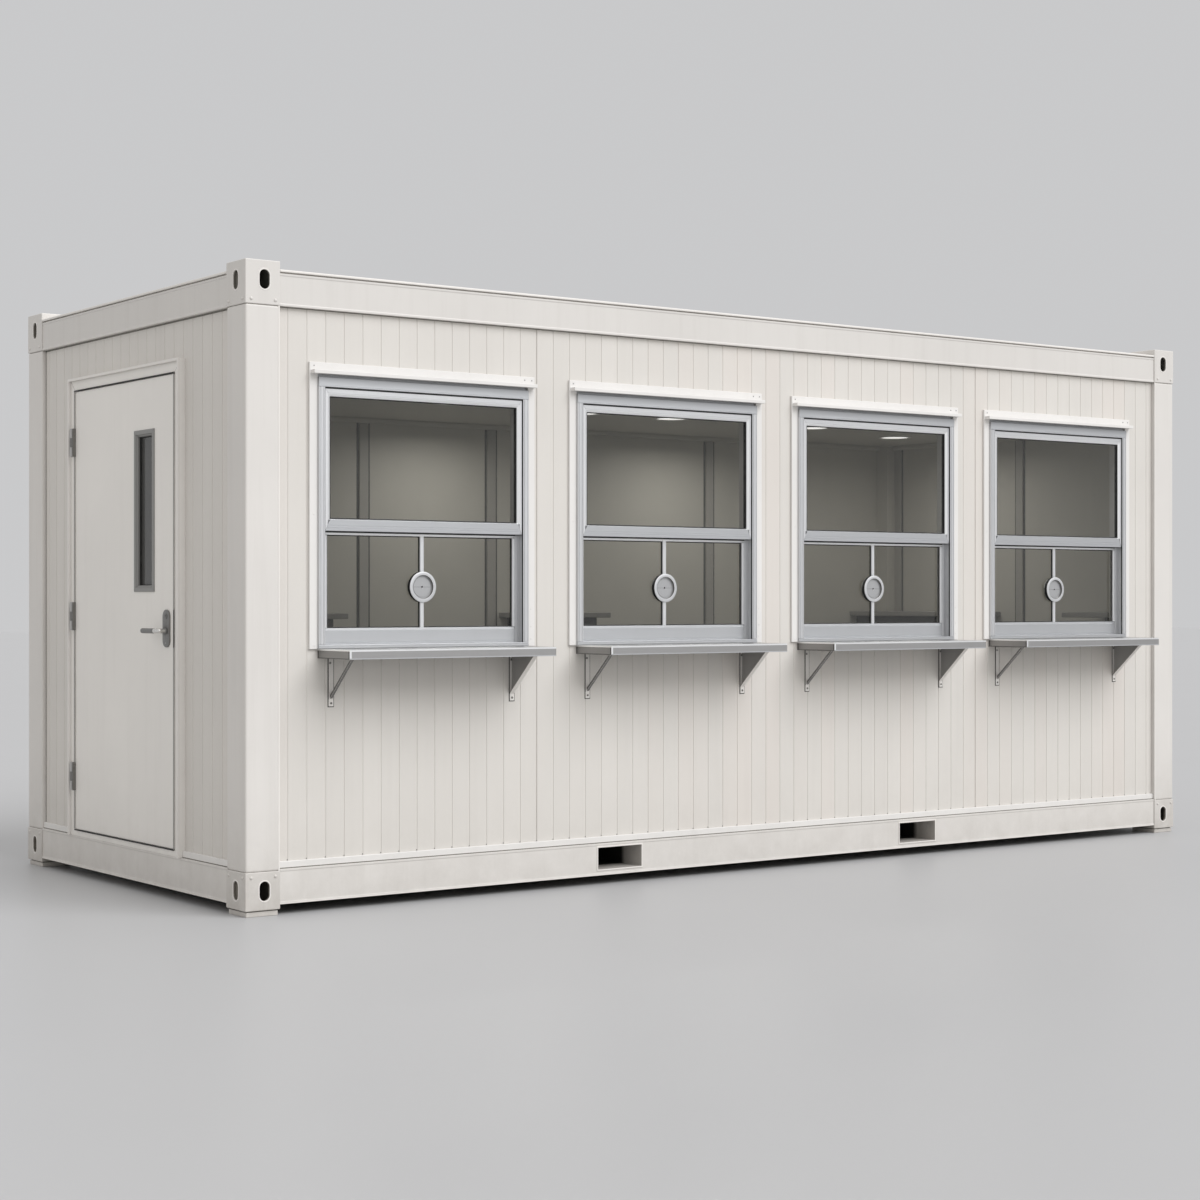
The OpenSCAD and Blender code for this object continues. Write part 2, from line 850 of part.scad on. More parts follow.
// Flange with a recessed dish in front of the glass, a barrel through it and a ring behind
module voice_ports() {
    y_ring = y_lower_glass + glass_thickness;
    y_face = y_lower_glass - port_flange;
    color(frame_silver)
        at_windows()
            difference() {
                union() {
                    port_cylinder(port_radius, y_face, y_lower_glass);
                    port_cylinder(port_barrel_radius, y_lower_glass - eps, y_ring + eps);
                    port_cylinder(port_ring_diameter / 2, y_ring, y_ring + port_ring_thickness);
                }
                port_cylinder(port_dish_radius, y_face - eps, y_face + port_dish_depth);
                port_cylinder(port_hole / 2, y_face, y_ring + port_ring_thickness + eps);
            }
}

// ---- Shelves and brackets

module counter_shelves() {
    color(steel_grey)
        at_windows()
            translate([shelf_shift, 0, 0])
                block([-shelf_length / 2, y_front - shelf_reach, z_shelf],
                    [shelf_length / 2, y_wall, z_window]);
}

// The part both kinds of bracket share: a wall leg with a screw tab, and a leg under the shelf
module bracket_legs() {
    block([-bracket_width / 2, y_wall - bracket_metal, z_shelf - bracket_height],
        [bracket_width / 2, y_wall, z_shelf]);
    block([-bracket_width / 2, y_wall - bracket_reach, z_shelf - bracket_metal],
        [bracket_width / 2, y_wall, z_shelf]);
}

// A shape drawn in the YZ plane, centred on X = 0
module across_bracket(width) {
    translate([-width / 2, 0, 0])
        rotate([90, 0, 90])
            linear_extrude(width)
                children();
}

// A bar from the foot of the wall leg to the front of the leg under the shelf
module diagonal(width, depth) {
    z_strut = z_shelf - bracket_height + bracket_tab;
    across_bracket(width)
        polygon([
            [y_wall - bracket_metal, z_strut],
            [y_wall - bracket_metal, z_strut + depth],
            [y_wall - bracket_reach + depth, z_shelf - bracket_metal],
            [y_wall - bracket_reach, z_shelf - bracket_metal]
        ]);
}

module strut_bracket() {
    bracket_legs();
    diagonal(bracket_width / 2, strut_depth);
}

// A plate between the legs, with a flange folded along its diagonal edge
module gusset_bracket() {
    bracket_legs();
    diagonal(bracket_width, gusset_flange);
    across_bracket(bracket_metal)
        polygon([
            [y_wall - bracket_metal, z_shelf - bracket_height + bracket_tab],
            [y_wall - bracket_metal, z_shelf - bracket_metal],
            [y_wall - bracket_reach, z_shelf - bracket_metal]
        ]);
}

module strut_brackets() {
    color(steel_grey)
        at_windows()
            translate([bracket_shift - bracket_spacing / 2, 0, 0])
                strut_bracket();
}

module gusset_brackets() {
    color(steel_grey)
        at_windows()
            translate([bracket_shift + bracket_spacing / 2, 0, 0])
                gusset_bracket();
}

// ---- Door

// Frame through the wall, with a stop behind the leaf and a bead round its face
module door_frame() {
    color(door_grey) {
        difference() {
            block([x_door_face, door_start, z_rail_top], [room_left, door_end, z_door_top]);
            block([x_door_face - eps, opening_start, z_door_sill], [x_stop, opening_end, opening_top]);
            block([x_stop - eps, opening_start + stop_width, z_door_sill],
                [room_left + eps, opening_end - stop_width, opening_top - stop_width]);
        }
        difference() {
            block([x_door_face - bead_height, door_start, z_rail_top], [x_door_face, door_end, z_door_top]);
            block([x_left - 2 * bead_height, door_start + bead_width, z_rail_top - eps],
                [x_door_face + eps, door_end - bead_width, z_door_top - bead_width]);
        }
    }
}

module strike_plate() {
    color(handle_grey)
        block([x_leaf, opening_start, z_spindle + plate_rise - plate_height / 2],
            [x_leaf_back, opening_start + strike_thickness, z_spindle + plate_rise + plate_height / 2]);
}

// A box for the leaf's vision panel, shrunk by inset on each side
module vision_box(inset, x_low, x_high) {
    block([x_low, vision_start + inset, z_vision + inset],
        [x_high, vision_end - inset, z_vision_top - inset]);
}

// A cylinder along X round the handle's spindle
module spindle_cylinder(radius, x_low, x_high) {
    translate([x_low, y_spindle, z_spindle])
        rotate([0, 90, 0])
            cylinder(h = x_high - x_low, r = radius);
}

module door_leaf() {
    color(door_grey)
        difference() {
            block([x_leaf, leaf_start, leaf_foot], [x_leaf_back, leaf_end, leaf_top]);
            vision_box(vision_flange, x_leaf - eps, x_leaf_back + eps);
            spindle_cylinder(leaf_bore_radius, x_leaf - eps, x_leaf_back + eps);
        }
}

module vision_frame() {
    color(handle_grey)
        difference() {
            union() {
                vision_box(0, x_leaf - vision_proud, x_leaf);
                vision_box(vision_flange, x_leaf - eps, x_leaf_back + eps);
                vision_box(0, x_leaf_back, x_leaf_back + vision_proud);
            }
            vision_box(vision_bar, x_leaf - 2 * vision_proud, x_leaf_back + 2 * vision_proud);
        }
}

module vision_glass() {
    x_glass = (x_leaf + x_leaf_back - glass_thickness) / 2;
    color(glass_grey)
        vision_box(vision_bar, x_glass, x_glass + glass_thickness);
}

// One back plate, its corners rounded, with a bore that carries the spindle
module handle_plate(x_low) {
    corner_y = plate_width / 2 - plate_radius;
    corner_z = plate_height / 2 - plate_radius;
    difference() {
        translate([x_low, y_spindle, z_spindle + plate_rise])
            rotate([90, 0, 90])
                linear_extrude(plate_thickness) {
                    square([plate_width, plate_height - 2 * plate_radius], center = true);
                    square([plate_width - 2 * plate_radius, plate_height], center = true);
                    for (side_y = [-1, 1], side_z = [-1, 1])
                        translate([side_y * corner_y, side_z * corner_z])
                            circle(r = plate_radius);
                }
        spindle_cylinder(spindle_radius + spindle_clearance, x_low - eps, x_low + plate_thickness + eps);
    }
}

module handle_plates() {
    color(handle_grey) {
        handle_plate(x_leaf - plate_thickness);
        handle_plate(x_leaf_back);
    }
}

// Lever: a neck on the spindle and an arm towards the hinges
module lever(x_plate, side) {
    x_arm = x_plate + side * lever_reach;
    x_neck = x_plate + side * neck_clearance;
    spindle_cylinder(lever_radius, min(x_arm, x_neck), max(x_arm, x_neck));
    translate([x_arm, y_spindle, z_spindle]) {
        sphere(r = lever_radius);
        rotate([-90, 0, 0])
            cylinder(h = lever_length - lever_radius, r = lever_radius);
        translate([0, lever_length - lever_radius, 0])
            sphere(r = lever_radius);
    }
}

module lever_handle() {
    x_outer = x_leaf - plate_thickness;
    x_inner = x_leaf_back + plate_thickness;
    color(handle_grey) {
        spindle_cylinder(spindle_radius, x_outer - 2 * eps, x_inner + 2 * eps);
        lever(x_outer, -1);
        lever(x_inner, 1);
    }
}

// A knuckle of the hinge, between two heights above the hinge's foot
module knuckle(radius, low, high) {
    translate([x_pin, y_pin, low])
        cylinder(h = high - low, r = radius);
}

module at_hinges() {
    for (z = hinge_levels)
        translate([0, 0, z - hinge_height / 2])
            children();
}

// Frame side: the end knuckles, the pin and a plate on the frame's face
module hinge_frame_plates() {
    color(handle_grey)
        at_hinges() {
            knuckle(pin_radius, 0, hinge_height);
            for (low = [0, 2 * knuckle_height]) {
                knuckle(knuckle_radius, low, low + knuckle_height);
                block([x_pin, y_pin, low], [x_door_face, y_pin + knuckle_radius, low + knuckle_height]);
            }
            block([x_door_face - hinge_metal, y_pin + knuckle_radius, 0],
                [x_door_face, y_pin + hinge_plate, hinge_height]);
        }
}

// Leaf side: the middle knuckle, its arm and a plate on the leaf's edge
module hinge_leaf_plates() {
    low = knuckle_height + knuckle_gap;
    high = 2 * knuckle_height - knuckle_gap;
    color(handle_grey)
        at_hinges() {
            difference() {
                union() {
                    knuckle(knuckle_radius, low, high);
                    block([x_pin - hinge_metal, leaf_end, low], [x_pin + hinge_metal, y_pin, high]);
                }
                knuckle(pin_radius + pin_clearance, low - eps, high + eps);
            }
            block([x_pin - hinge_metal, leaf_end, 0],
                [x_leaf_back - hinge_metal, leaf_end + hinge_metal, hinge_height]);
        }
}

foot_plates();
lower_castings();
upper_castings();
corner_posts();
bottom_side_rails();
bottom_end_rails();
top_side_rails();
top_end_rails();
fork_tunnels();
underfloor_sheet();
floor();
base_trim();
front_wall();
back_wall();
right_wall();
left_wall_front();
left_wall_rear();
left_wall_over_door();
roof();
roof_ends();
ceiling();
cornice();
cover_strips();
ceiling_lights();
worktops();
counter_cabinets();
window_casings();
window_frames();
upper_sashes();
upper_glass();
lower_sashes();
lower_glass();
voice_ports();
counter_shelves();
strut_brackets();
gusset_brackets();
door_frame();
strike_plate();
hinge_frame_plates();
door_leaf();
hinge_leaf_plates();
vision_frame();
vision_glass();
handle_plates();
lever_handle();
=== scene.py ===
"""Looks of a ticket booth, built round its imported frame."""

import math

import bmesh
import bpy
from bpy.props import FloatProperty, FloatVectorProperty, PointerProperty
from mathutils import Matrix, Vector


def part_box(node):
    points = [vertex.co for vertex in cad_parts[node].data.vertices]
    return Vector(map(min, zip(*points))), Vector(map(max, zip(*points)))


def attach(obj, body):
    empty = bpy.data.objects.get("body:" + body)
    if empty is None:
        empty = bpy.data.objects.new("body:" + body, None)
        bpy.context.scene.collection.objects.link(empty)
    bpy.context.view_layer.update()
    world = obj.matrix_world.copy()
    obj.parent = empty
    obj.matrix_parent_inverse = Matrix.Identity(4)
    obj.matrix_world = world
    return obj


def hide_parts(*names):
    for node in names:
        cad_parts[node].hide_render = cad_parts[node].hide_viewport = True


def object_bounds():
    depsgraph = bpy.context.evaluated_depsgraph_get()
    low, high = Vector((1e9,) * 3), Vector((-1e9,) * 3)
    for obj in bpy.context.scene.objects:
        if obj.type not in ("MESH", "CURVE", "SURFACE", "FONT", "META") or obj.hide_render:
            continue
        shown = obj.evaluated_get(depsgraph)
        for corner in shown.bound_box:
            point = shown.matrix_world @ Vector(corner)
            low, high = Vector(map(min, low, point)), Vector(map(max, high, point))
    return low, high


bl_info = {
    "name": "Ticket Booth",
    "version": (1, 0, 0),
    "blender": (4, 5, 0),
    "location": "3D View > Sidebar > Booth",
    "description": "Builds a steel ticket booth's panels, windows, shelves, door and room",
    "category": "Object",
}

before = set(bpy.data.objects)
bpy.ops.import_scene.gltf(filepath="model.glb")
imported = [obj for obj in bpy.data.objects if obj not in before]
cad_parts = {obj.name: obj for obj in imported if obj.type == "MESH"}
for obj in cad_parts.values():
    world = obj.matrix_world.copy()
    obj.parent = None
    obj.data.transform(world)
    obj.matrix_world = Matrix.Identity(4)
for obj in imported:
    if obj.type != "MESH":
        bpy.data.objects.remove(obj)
CAD_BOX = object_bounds()
MIDDLE = (CAD_BOX[0] + CAD_BOX[1]) / 2

# How far the drip cap of a window casing stands out from the casing's face
CASING_PROUD = 0.012
# Grooves of the front wall at which two panels meet, and joints of the right wall from the front corner
FRONT_JOINTS = (14, 45)
END_JOINTS = (0.641, 1.240, 1.896)
# Lamps under the ceiling: share of the room's length, distance from its back wall, share of the power
ROOM_LAMPS = ((0.155, 0.95, 0.30), (0.384, 0.60, 0.95), (0.673, 0.60, 0.95), (0.885, 0.95, 0.82))
RIGHT = Vector((1, 0, 0))
INWARD = Vector((0, 1, 0))
UP = Vector((0, 0, 1))
MERGE = 1e-5


# ---- Sizes and colours that a user would change


def colour(name, default, description):
    return FloatVectorProperty(
        name=name, description=description, subtype="COLOR", size=3, min=0.0, max=1.0, default=default
    )


def length(name, default, description):
    return FloatProperty(
        name=name, description=description, default=default, min=0.0, unit="LENGTH", subtype="DISTANCE"
    )


class BoothColours(bpy.types.PropertyGroup):
    """Base colours of the booth's finishes"""

    wall: colour("Wall", (0.765, 0.742, 0.712), "Paint of the wall panels")
    steel: colour("Frame steel", (0.782, 0.762, 0.743), "Paint of posts, rails and castings")
    casing: colour("Casing", (0.855, 0.845, 0.838), "Paint of the window casings and base trim")
    door: colour("Door", (0.930, 0.910, 0.885), "Paint of the door and its frame")
    # The three aluminium colours are lit and shaded copies of one metal: sash uprights lightest, jambs and
    # level bars darker as painted shade
    aluminium: colour("Aluminium", (0.86, 0.865, 0.875), "Upright bars of the sashes")
    jamb: colour("Aluminium jambs", (0.765, 0.77, 0.78), "Upright bars of the window frames")
    rail: colour("Aluminium rails", (0.62, 0.63, 0.645), "Level bars of the windows")
    stainless: colour("Stainless", (0.49, 0.485, 0.48), "Counter shelves and brackets")
    handle: colour("Handle steel", (0.25, 0.245, 0.235), "Door lever, plates and hinges")
    vision: colour("Vision frame", (0.28, 0.28, 0.275), "Frame of the door's vision panel")
    glass: colour("Glass", (0.80, 0.81, 0.80), "Tint of the panes")
    rubber: colour("Rubber", (0.015, 0.015, 0.015), "Gaskets and seals")
    lining: colour("Lining", (0.60, 0.58, 0.53), "Inner faces of the walls and the ceiling")
    trim: colour("Room trim", (0.44, 0.425, 0.395), "Cover strips and cornice")
    flooring: colour("Flooring", (0.20, 0.195, 0.18), "Sheet flooring in the room")
    worktop: colour("Worktop", (0.30, 0.29, 0.27), "Counters in the room")
    cabinet: colour("Cabinet", (0.10, 0.10, 0.095), "Cabinets under the counters")
    underside: colour("Underside", (0.05, 0.05, 0.05), "Coating under the floor")
    # Painted shade as well: the dark joint lines under the rails and beside the posts, and the feet's necks
    sealant: colour("Sealant", (0.20, 0.19, 0.17), "Joint sealant between panels, posts and rails")
    # Painted shade: this dark colour stands for the shade inside the castings' slots and deep in the fork
    # tunnels
    cavity_shade: colour("Cavity", (0.16, 0.155, 0.14), "Dull paint inside the castings and fork tunnels")
    # This colour also paints the shade in corners and the darkening towards the bottom
    grime_and_shade: colour("Grime", (0.30, 0.27, 0.23), "Dust and rain marks")


class BoothSizes(bpy.types.PropertyGroup):
    """Sizes of the details that the frame leaves out"""

    front_pitch: length("Front groove pitch", 0.0938, "Distance between the grooves of the long walls")
    front_first: length("First front groove", 0.215, "Distance of the first groove from the cabin's corner")
    end_pitch: length("End groove pitch", 0.0975, "Distance between the grooves of the end walls")
    end_first: length("First end groove", 0.268, "Distance of the first end groove from the cabin's corner")
    groove_width: length("Groove width", 0.0080, "Width of a wall groove at the face")
    groove_depth: length("Groove depth", 0.0025, "Depth of a wall groove")
    joint_width: length("Joint width", 0.0030, "Width of the joint between two wall panels")
    joint_depth: length("Joint depth", 0.0045, "Depth of the joint between two wall panels")
    steel_edge: length("Steel edge", 0.0040, "Rounding of the castings' and rails' edges")
    post_edge: length("Post edge", 0.0090, "Rounding of the posts' edges")
    sheet_edge: length("Sheet edge", 0.0016, "Rounding of folded sheet edges")
    gasket: length("Gasket", 0.0045, "Width of the rubber that shows round a pane")
    mitre_gap: length("Mitre gap", 0.0006, "Gap between two mitred bars")
    rivet_radius: length("Rivet radius", 0.0075, "Radius of the castings' rivets")
    screw_radius: length("Screw radius", 0.0035, "Radius of the trims' screw heads")


class BoothStage(bpy.types.PropertyGroup):
    """The floor, the background and the lamps"""

    floor_colour: colour("Floor", (0.508, 0.514, 0.530), "Colour of the floor")
    bounce_colour: colour("Floor bounce", (0.42, 0.415, 0.405), "Floor as the object's faces get it")
    sky_colour: colour("Background", (0.584, 0.586, 0.594), "Colour of the background")
    soft_colour: colour("Soft light", (0.722, 0.706, 0.683), "Even light from all round")
    sun_strength: FloatProperty(name="Sun", description="Strength of the key lamp", default=1.85, min=0.0)
    sun_angle: FloatProperty(
        name="Sun size",
        description="Apparent size of the key lamp",
        default=math.radians(45),
        subtype="ANGLE",
    )
    room_light: FloatProperty(
        name="Room light", description="Power of each ceiling lamp", default=4.8, min=0.0, unit="POWER"
    )
    lens: FloatProperty(name="Lens", description="Focal length", default=66.55, unit="CAMERA")
    floor_size: length("Floor size", 160.0, "Side of the floor")


def colours():
    return bpy.context.scene.booth_colours


def sizes():
    return bpy.context.scene.booth_sizes


# ---- Shader node groups

FLOAT = "NodeSocketFloat"
VECTOR = "NodeSocketVector"


class Tree:
    """A node tree and a short way to add and join its nodes."""

    def __init__(self, tree):
        self.tree = tree
        self.nodes = tree.nodes
        self.column = 0

    def add(self, kind, inputs=None, **settings):
        node = self.nodes.new(kind)
        node.location = (self.column * 180, -120 * (self.column % 5))
        self.column += 1
        for key, value in settings.items():
            setattr(node, key, value)
        for key, value in (inputs or {}).items():
            self.put(node.inputs[key], value)
        return node

    def put(self, socket, value):
        """Sets or links an input; a node stands for its first output."""
        if isinstance(value, bpy.types.Node):
            value = value.outputs[0]
        if isinstance(value, bpy.types.NodeSocket):
            self.tree.links.new(value, socket)
        else:
            socket.default_value = value

    def listed(self, kind, values, **settings):
        """A node whose first inputs take values in order."""
        return self.add(kind, {i: v for i, v in enumerate(values) if v is not None}, **settings)

    def math(self, operation, *values):
        return self.listed("ShaderNodeMath", values, operation=operation).outputs[0]

    def vector_math(self, operation, *values):
        return self.listed("ShaderNodeVectorMath", values, operation=operation).outputs

    def mix(self, factor, first, second):
        node = self.add("ShaderNodeMix", {0: factor, 6: first, 7: second}, data_type="RGBA")
        return node.outputs[2]

    def remap(self, value, low, high, to_low=0.0, to_high=1.0):
        return self.listed("ShaderNodeMapRange", (value, low, high, to_low, to_high), clamp=True).outputs[0]

    def object_place(self):
        return self.add("ShaderNodeTexCoord").outputs["Object"]

    def noise(self, vector, scale, detail=3.0, roughness=0.5):
        inputs = {"Vector": vector, "Scale": scale, "Detail": detail, "Roughness": roughness}
        return self.add("ShaderNodeTexNoise", inputs).outputs["Fac"]

    def axis(self, name):
        return self.add("ShaderNodeSeparateXYZ", {"Vector": self.object_place()}).outputs[name]

    def xyz(self, **parts):
        return self.add("ShaderNodeCombineXYZ", parts)


def new_tree(name, kind, inputs, outputs):
    """A node group with its sockets; inputs are (name, socket, default), outputs (name, socket)."""
    tree = bpy.data.node_groups.new(name, kind)
    for label, socket, default in inputs:
        made = tree.interface.new_socket(name=label, in_out="INPUT", socket_type=socket)
        if default is not None:
            made.default_value = default
    for label, socket in outputs:
        tree.interface.new_socket(name=label, in_out="OUTPUT", socket_type=socket)
    t = Tree(tree)
    return t, t.add("NodeGroupInput").outputs, t.add("NodeGroupOutput").inputs


GROUPS = {}


def shader_group(name, inputs, outputs):
    """Makes the decorated function, which fills the group's tree, the shader group called name."""
    def keep(build):
        GROUPS[name] = (build, inputs, [(label, FLOAT) for label in outputs])
        return build
    return keep


def group_node(t, name, **inputs):
    """A node of a shader group, which is built when it is first used."""
    tree = bpy.data.node_groups.get(name)
    if tree is None:
        build, given, out = GROUPS[name]
        maker = new_tree(name, "ShaderNodeTree", given, out)
        build(*maker)
        tree = maker[0].tree
    node = t.add("ShaderNodeGroup", node_tree=tree)
    for label, value in inputs.items():
        t.put(node.inputs[label.replace("_", " ")], value)
    return node.outputs


@shader_group(
    "Paint grain",
    [("Spray Scale", FLOAT, 420.0), ("Drift Scale", FLOAT, 1.3)],
    ["Height", "Tone"],
)
def paint_grain(t, given, out):
    """Fine spray texture and slow drifts of tone in a paint film."""
    place = t.object_place()
    t.put(out["Height"], t.noise(place, given["Spray Scale"], 2.0))
    t.put(out["Tone"], t.remap(t.noise(place, given["Drift Scale"], 4.0, 0.6), 0.3, 0.7))


@shader_group(
    "Grime",
    [("Amount", FLOAT, 0.3), ("Reach", FLOAT, 0.05), ("Foot Height", FLOAT, 0.7)],
    ["Mask"],
)
def grime_and_shade(t, given, out):
    """Painted shade in corners, creases and gaps, found by ambient occlusion, and a darkening towards the
    bottom, both broken up by speckle, with faint rain marks.
    """
    place = t.object_place()
    # Painted shade: ambient occlusion darkens corners, creases and the gaps between parts
    corner = t.add("ShaderNodeAmbientOcclusion", {"Distance": given["Reach"]}, samples=6)
    corners = t.remap(corner.outputs["AO"], 0.35, 0.95, 1.0, 0.0)
    # Darker towards the bottom
    foot = t.remap(t.axis("Z"), 0.02, given["Foot Height"], 1.0, 0.0)
    foot = t.math("MULTIPLY", t.math("POWER", foot, 2.0), 1.3)
    tall = t.add("ShaderNodeMapping", {"Vector": place, "Scale": (14, 14, 0.7)})
    rain = t.math("MULTIPLY", t.remap(t.noise(tall, 1.0, 4.0, 0.65), 0.5, 0.75), 0.22)
    speckle = t.remap(t.noise(place, 9.0, 5.0, 0.65), 0.25, 0.7, 0.35, 1.0)
    dirt_and_shade = t.math("MAXIMUM", t.math("MULTIPLY", corners, 0.75), foot)
    dirt_and_shade = t.math("ADD", t.math("MULTIPLY", dirt_and_shade, speckle), rain)
    t.put(out["Mask"], t.math("MULTIPLY", dirt_and_shade, given["Amount"]))


@shader_group("Edge wear", [("Amount", FLOAT, 0.5), ("Radius", FLOAT, 0.002)], ["Mask"])
def edge_wear(t, given, out):
    """Edges that handling has rubbed brighter."""
    rounded = t.add("ShaderNodeBevel", {"Radius": given["Radius"]}, samples=4)
    plain = t.add("ShaderNodeNewGeometry").outputs["Normal"]
    match = t.vector_math("DOT_PRODUCT", rounded, plain)["Value"]
    edge = t.remap(match, 0.80, 0.99, 1.0, 0.0)
    broken = t.remap(t.noise(t.object_place(), 35.0, 5.0, 0.7), 0.4, 0.65)
    t.put(out["Mask"], t.math("MULTIPLY", t.math("MULTIPLY", edge, broken), given["Amount"]))


@shader_group("Brushing", [("Stretch", VECTOR, (400.0, 400.0, 4.0))], ["Height", "Streak", "Cloud"])
def brushing(t, given, out):
    """Long fine scratches of a drawn or brushed metal, along the direction with the small scale."""
    place = t.object_place()
    stretched = t.vector_math("MULTIPLY", place, given["Stretch"])[0]
    fine = t.noise(stretched, 1.0, 4.0, 0.7)
    t.put(out["Height"], fine)
    t.put(out["Streak"], t.remap(fine, 0.3, 0.7))
    t.put(out["Cloud"], t.noise(place, 3.5, 3.0))


@shader_group(
    "Board tone", [("Direction", VECTOR, (1.0, 0.0, 0.0)), ("First", FLOAT, 0.0), ("Pitch", FLOAT, 0.0935)],
    ["Tone", "Warmth"],
)
def board_tone(t, given, out):
    """A steady tone for each board between two grooves, along one direction of the wall."""
    along = t.vector_math("DOT_PRODUCT", t.object_place(), given["Direction"])["Value"]
    board = t.math("FLOOR", t.math("DIVIDE", t.math("SUBTRACT", along, given["First"]), given["Pitch"]))
    tones = []
    for shift in (0.0, 31.7):
        at = t.math("ADD", board, shift)
        tones.append(t.add("ShaderNodeTexWhiteNoise", {"W": at}, noise_dimensions="1D").outputs["Value"])
    t.put(out["Tone"], tones[0])
    t.put(out["Warmth"], t.remap(tones[1], 0.55, 1.0))


# ---- Materials


def new_material(name, roughness=0.5, metallic=0.0, specular=0.5):
    material = bpy.data.materials.new(name)
    material.use_nodes = True
    t = Tree(material.node_tree)
    shader = t.nodes["Principled BSDF"].inputs
    for label, value in (("Roughness", roughness), ("Metallic", metallic), ("Specular IOR Level", specular)):
        shader[label].default_value = value
    return material, t, shader


def rgba(value, factor=1.0):
    return (*(min(1.0, channel * factor) for channel in value), 1.0)


def add_bump(t, shader, height, strength, distance=0.0003):
    values = {"Strength": strength, "Distance": distance, "Height": height}
    t.put(shader["Normal"], t.add("ShaderNodeBump", values))


# Mixes in rain marks, painted shade in corners and a darkening towards the bottom
def add_dust_and_shade(t, base, amount, **reach):
    dust = group_node(t, "Grime", Amount=amount, **reach)
    return t.mix(dust["Mask"], base, rgba(colours().grime_and_shade))


def paint(name, tint, roughness=0.42, grime_and_shade=0.22, wear=0.0, board=None, spray=0.25, fade=None):
    """Sprayed paint: slow tone drifts, a fine skin, rain marks, painted shade in corners, a darkening
    towards the bottom and rubbed edges.
    With board, each board of a wall has its own tone. With fade, the paint gives way to that colour inside
    the fork tunnels, a painted shade deep in them."""
    material, t, shader = new_material(name, roughness)
    grain = group_node(t, "Paint grain")
    base = t.mix(grain["Tone"], rgba(tint, 0.965), rgba(tint, 1.02))
    if board is not None:
        direction, first, pitch = board
        tone = group_node(t, "Board tone", Direction=direction, First=first, Pitch=pitch)
        base = t.mix(t.math("MULTIPLY", t.remap(tone["Tone"], 0.0, 1.0), 0.35), base, rgba(tint, 0.93))
        warm = (tint[0] * 1.01, tint[1] * 0.975, tint[2] * 0.965)
        base = t.mix(t.math("MULTIPLY", tone["Warmth"], 0.55), base, rgba(warm))
    if wear > 0:
        base = t.mix(group_node(t, "Edge wear", Amount=wear)["Mask"], base, rgba(tint, 1.12))
    base = add_dust_and_shade(t, base, grime_and_shade)
    # Painted shade: deep inside the fork tunnels the paint goes nearly black
    if fade is not None:
        low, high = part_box("fork_tunnels")
        middle, half = (low.y + high.y) / 2, (high.y - low.y) / 2
        away = t.math("ABSOLUTE", t.math("SUBTRACT", t.axis("Y"), middle))
        base = t.mix(t.remap(away, half - 0.165, half - 0.135, 0.97, 0.0), base, rgba(fade, 0.06))
    t.put(shader["Base Color"], base)
    t.put(shader["Roughness"], t.remap(grain["Tone"], 0.0, 1.0, roughness - 0.04, roughness + 0.06))
    add_bump(t, shader, grain["Height"], spray, 0.0004)
    return material


def brushed(
    name, tint, stretch, roughness=0.42, depth=0.05, grime_and_shade=0.10, contrast=0.10, metallic=1.0, dim=None
):
    """Drawn or brushed metal with streaks along its length, with rain marks and painted shade in corners.
    With dim, two levels and a share, a painted shadow darkens it from the first level up to that share at
    the second."""
    material, t, shader = new_material(name, roughness, metallic)
    lines = group_node(t, "Brushing", Stretch=stretch)
    base = t.mix(lines["Streak"], rgba(tint, 1.0 - contrast), rgba(tint, 1.0 + contrast * 0.6))
    base = t.mix(t.math("MULTIPLY", lines["Cloud"], 0.12), base, rgba(tint, 0.86))
    base = add_dust_and_shade(t, base, grime_and_shade, Reach=0.02)
    # Painted shadow: darker upwards from the first level to the second
    if dim is not None:
        base = t.mix(t.remap(t.axis("Z"), dim[0], dim[1]), base, rgba(tint, dim[2]))
    t.put(shader["Base Color"], base)
    t.put(shader["Roughness"], t.remap(lines["Streak"], 0.0, 1.0, roughness - 0.05, roughness + 0.09))
    add_bump(t, shader, lines["Height"], depth)
    return material


def soft_plastic(name, tint, roughness, scale=260.0, strength=0.2):
    """Rubber, laminate or moulded plastic with a fine even skin."""
    material, t, shader = new_material(name, roughness)
    grain = group_node(t, "Paint grain", Spray_Scale=scale, Drift_Scale=4.0)
    t.put(shader["Base Color"], t.mix(grain["Tone"], rgba(tint, 0.88), rgba(tint, 1.08)))
    add_bump(t, shader, grain["Height"], strength)
    return material


def pane_glass(name, tint, haze=0.0):
    """Clear pane that lets lamps through, with a trace of dust; haze is the share that scatters light."""
    material, t, shader = new_material(name, 0.02)
    shader["Transmission Weight"].default_value = 1.0 - haze
    shader["IOR"].default_value = 1.45
    smear = t.noise(t.object_place(), 6.0, 5.0, 0.6)
    t.put(shader["Base Color"], t.mix(smear, rgba(tint, 0.97), rgba(tint, 1.0)))
    clear = t.add("ShaderNodeBsdfTransparent", {"Color": rgba(tint)})
    rays = t.add("ShaderNodeLightPath").outputs
    lamps = t.math("MAXIMUM", rays["Is Shadow Ray"], rays["Is Diffuse Ray"])
    both = t.listed("ShaderNodeMixShader", (lamps, t.nodes["Principled BSDF"], clear))
    t.put(t.nodes["Material Output"].inputs["Surface"], both)
    return material


def glowing(name, tint, strength):
    material, t, shader = new_material(name, 0.5)
    shader["Base Color"].default_value = rgba(tint)
    glow = t.noise(t.object_place(), 8.0, 2.0)
    t.put(shader["Emission Color"], t.mix(glow, rgba(tint, 0.94), rgba(tint)))
    shader["Emission Strength"].default_value = strength
    return material


MATERIALS = {}


def scaled(tint, factor, most=None):
    """A tint times factor, with no channel over most."""
    return tuple(v * factor if most is None else min(most, v * factor) for v in tint)


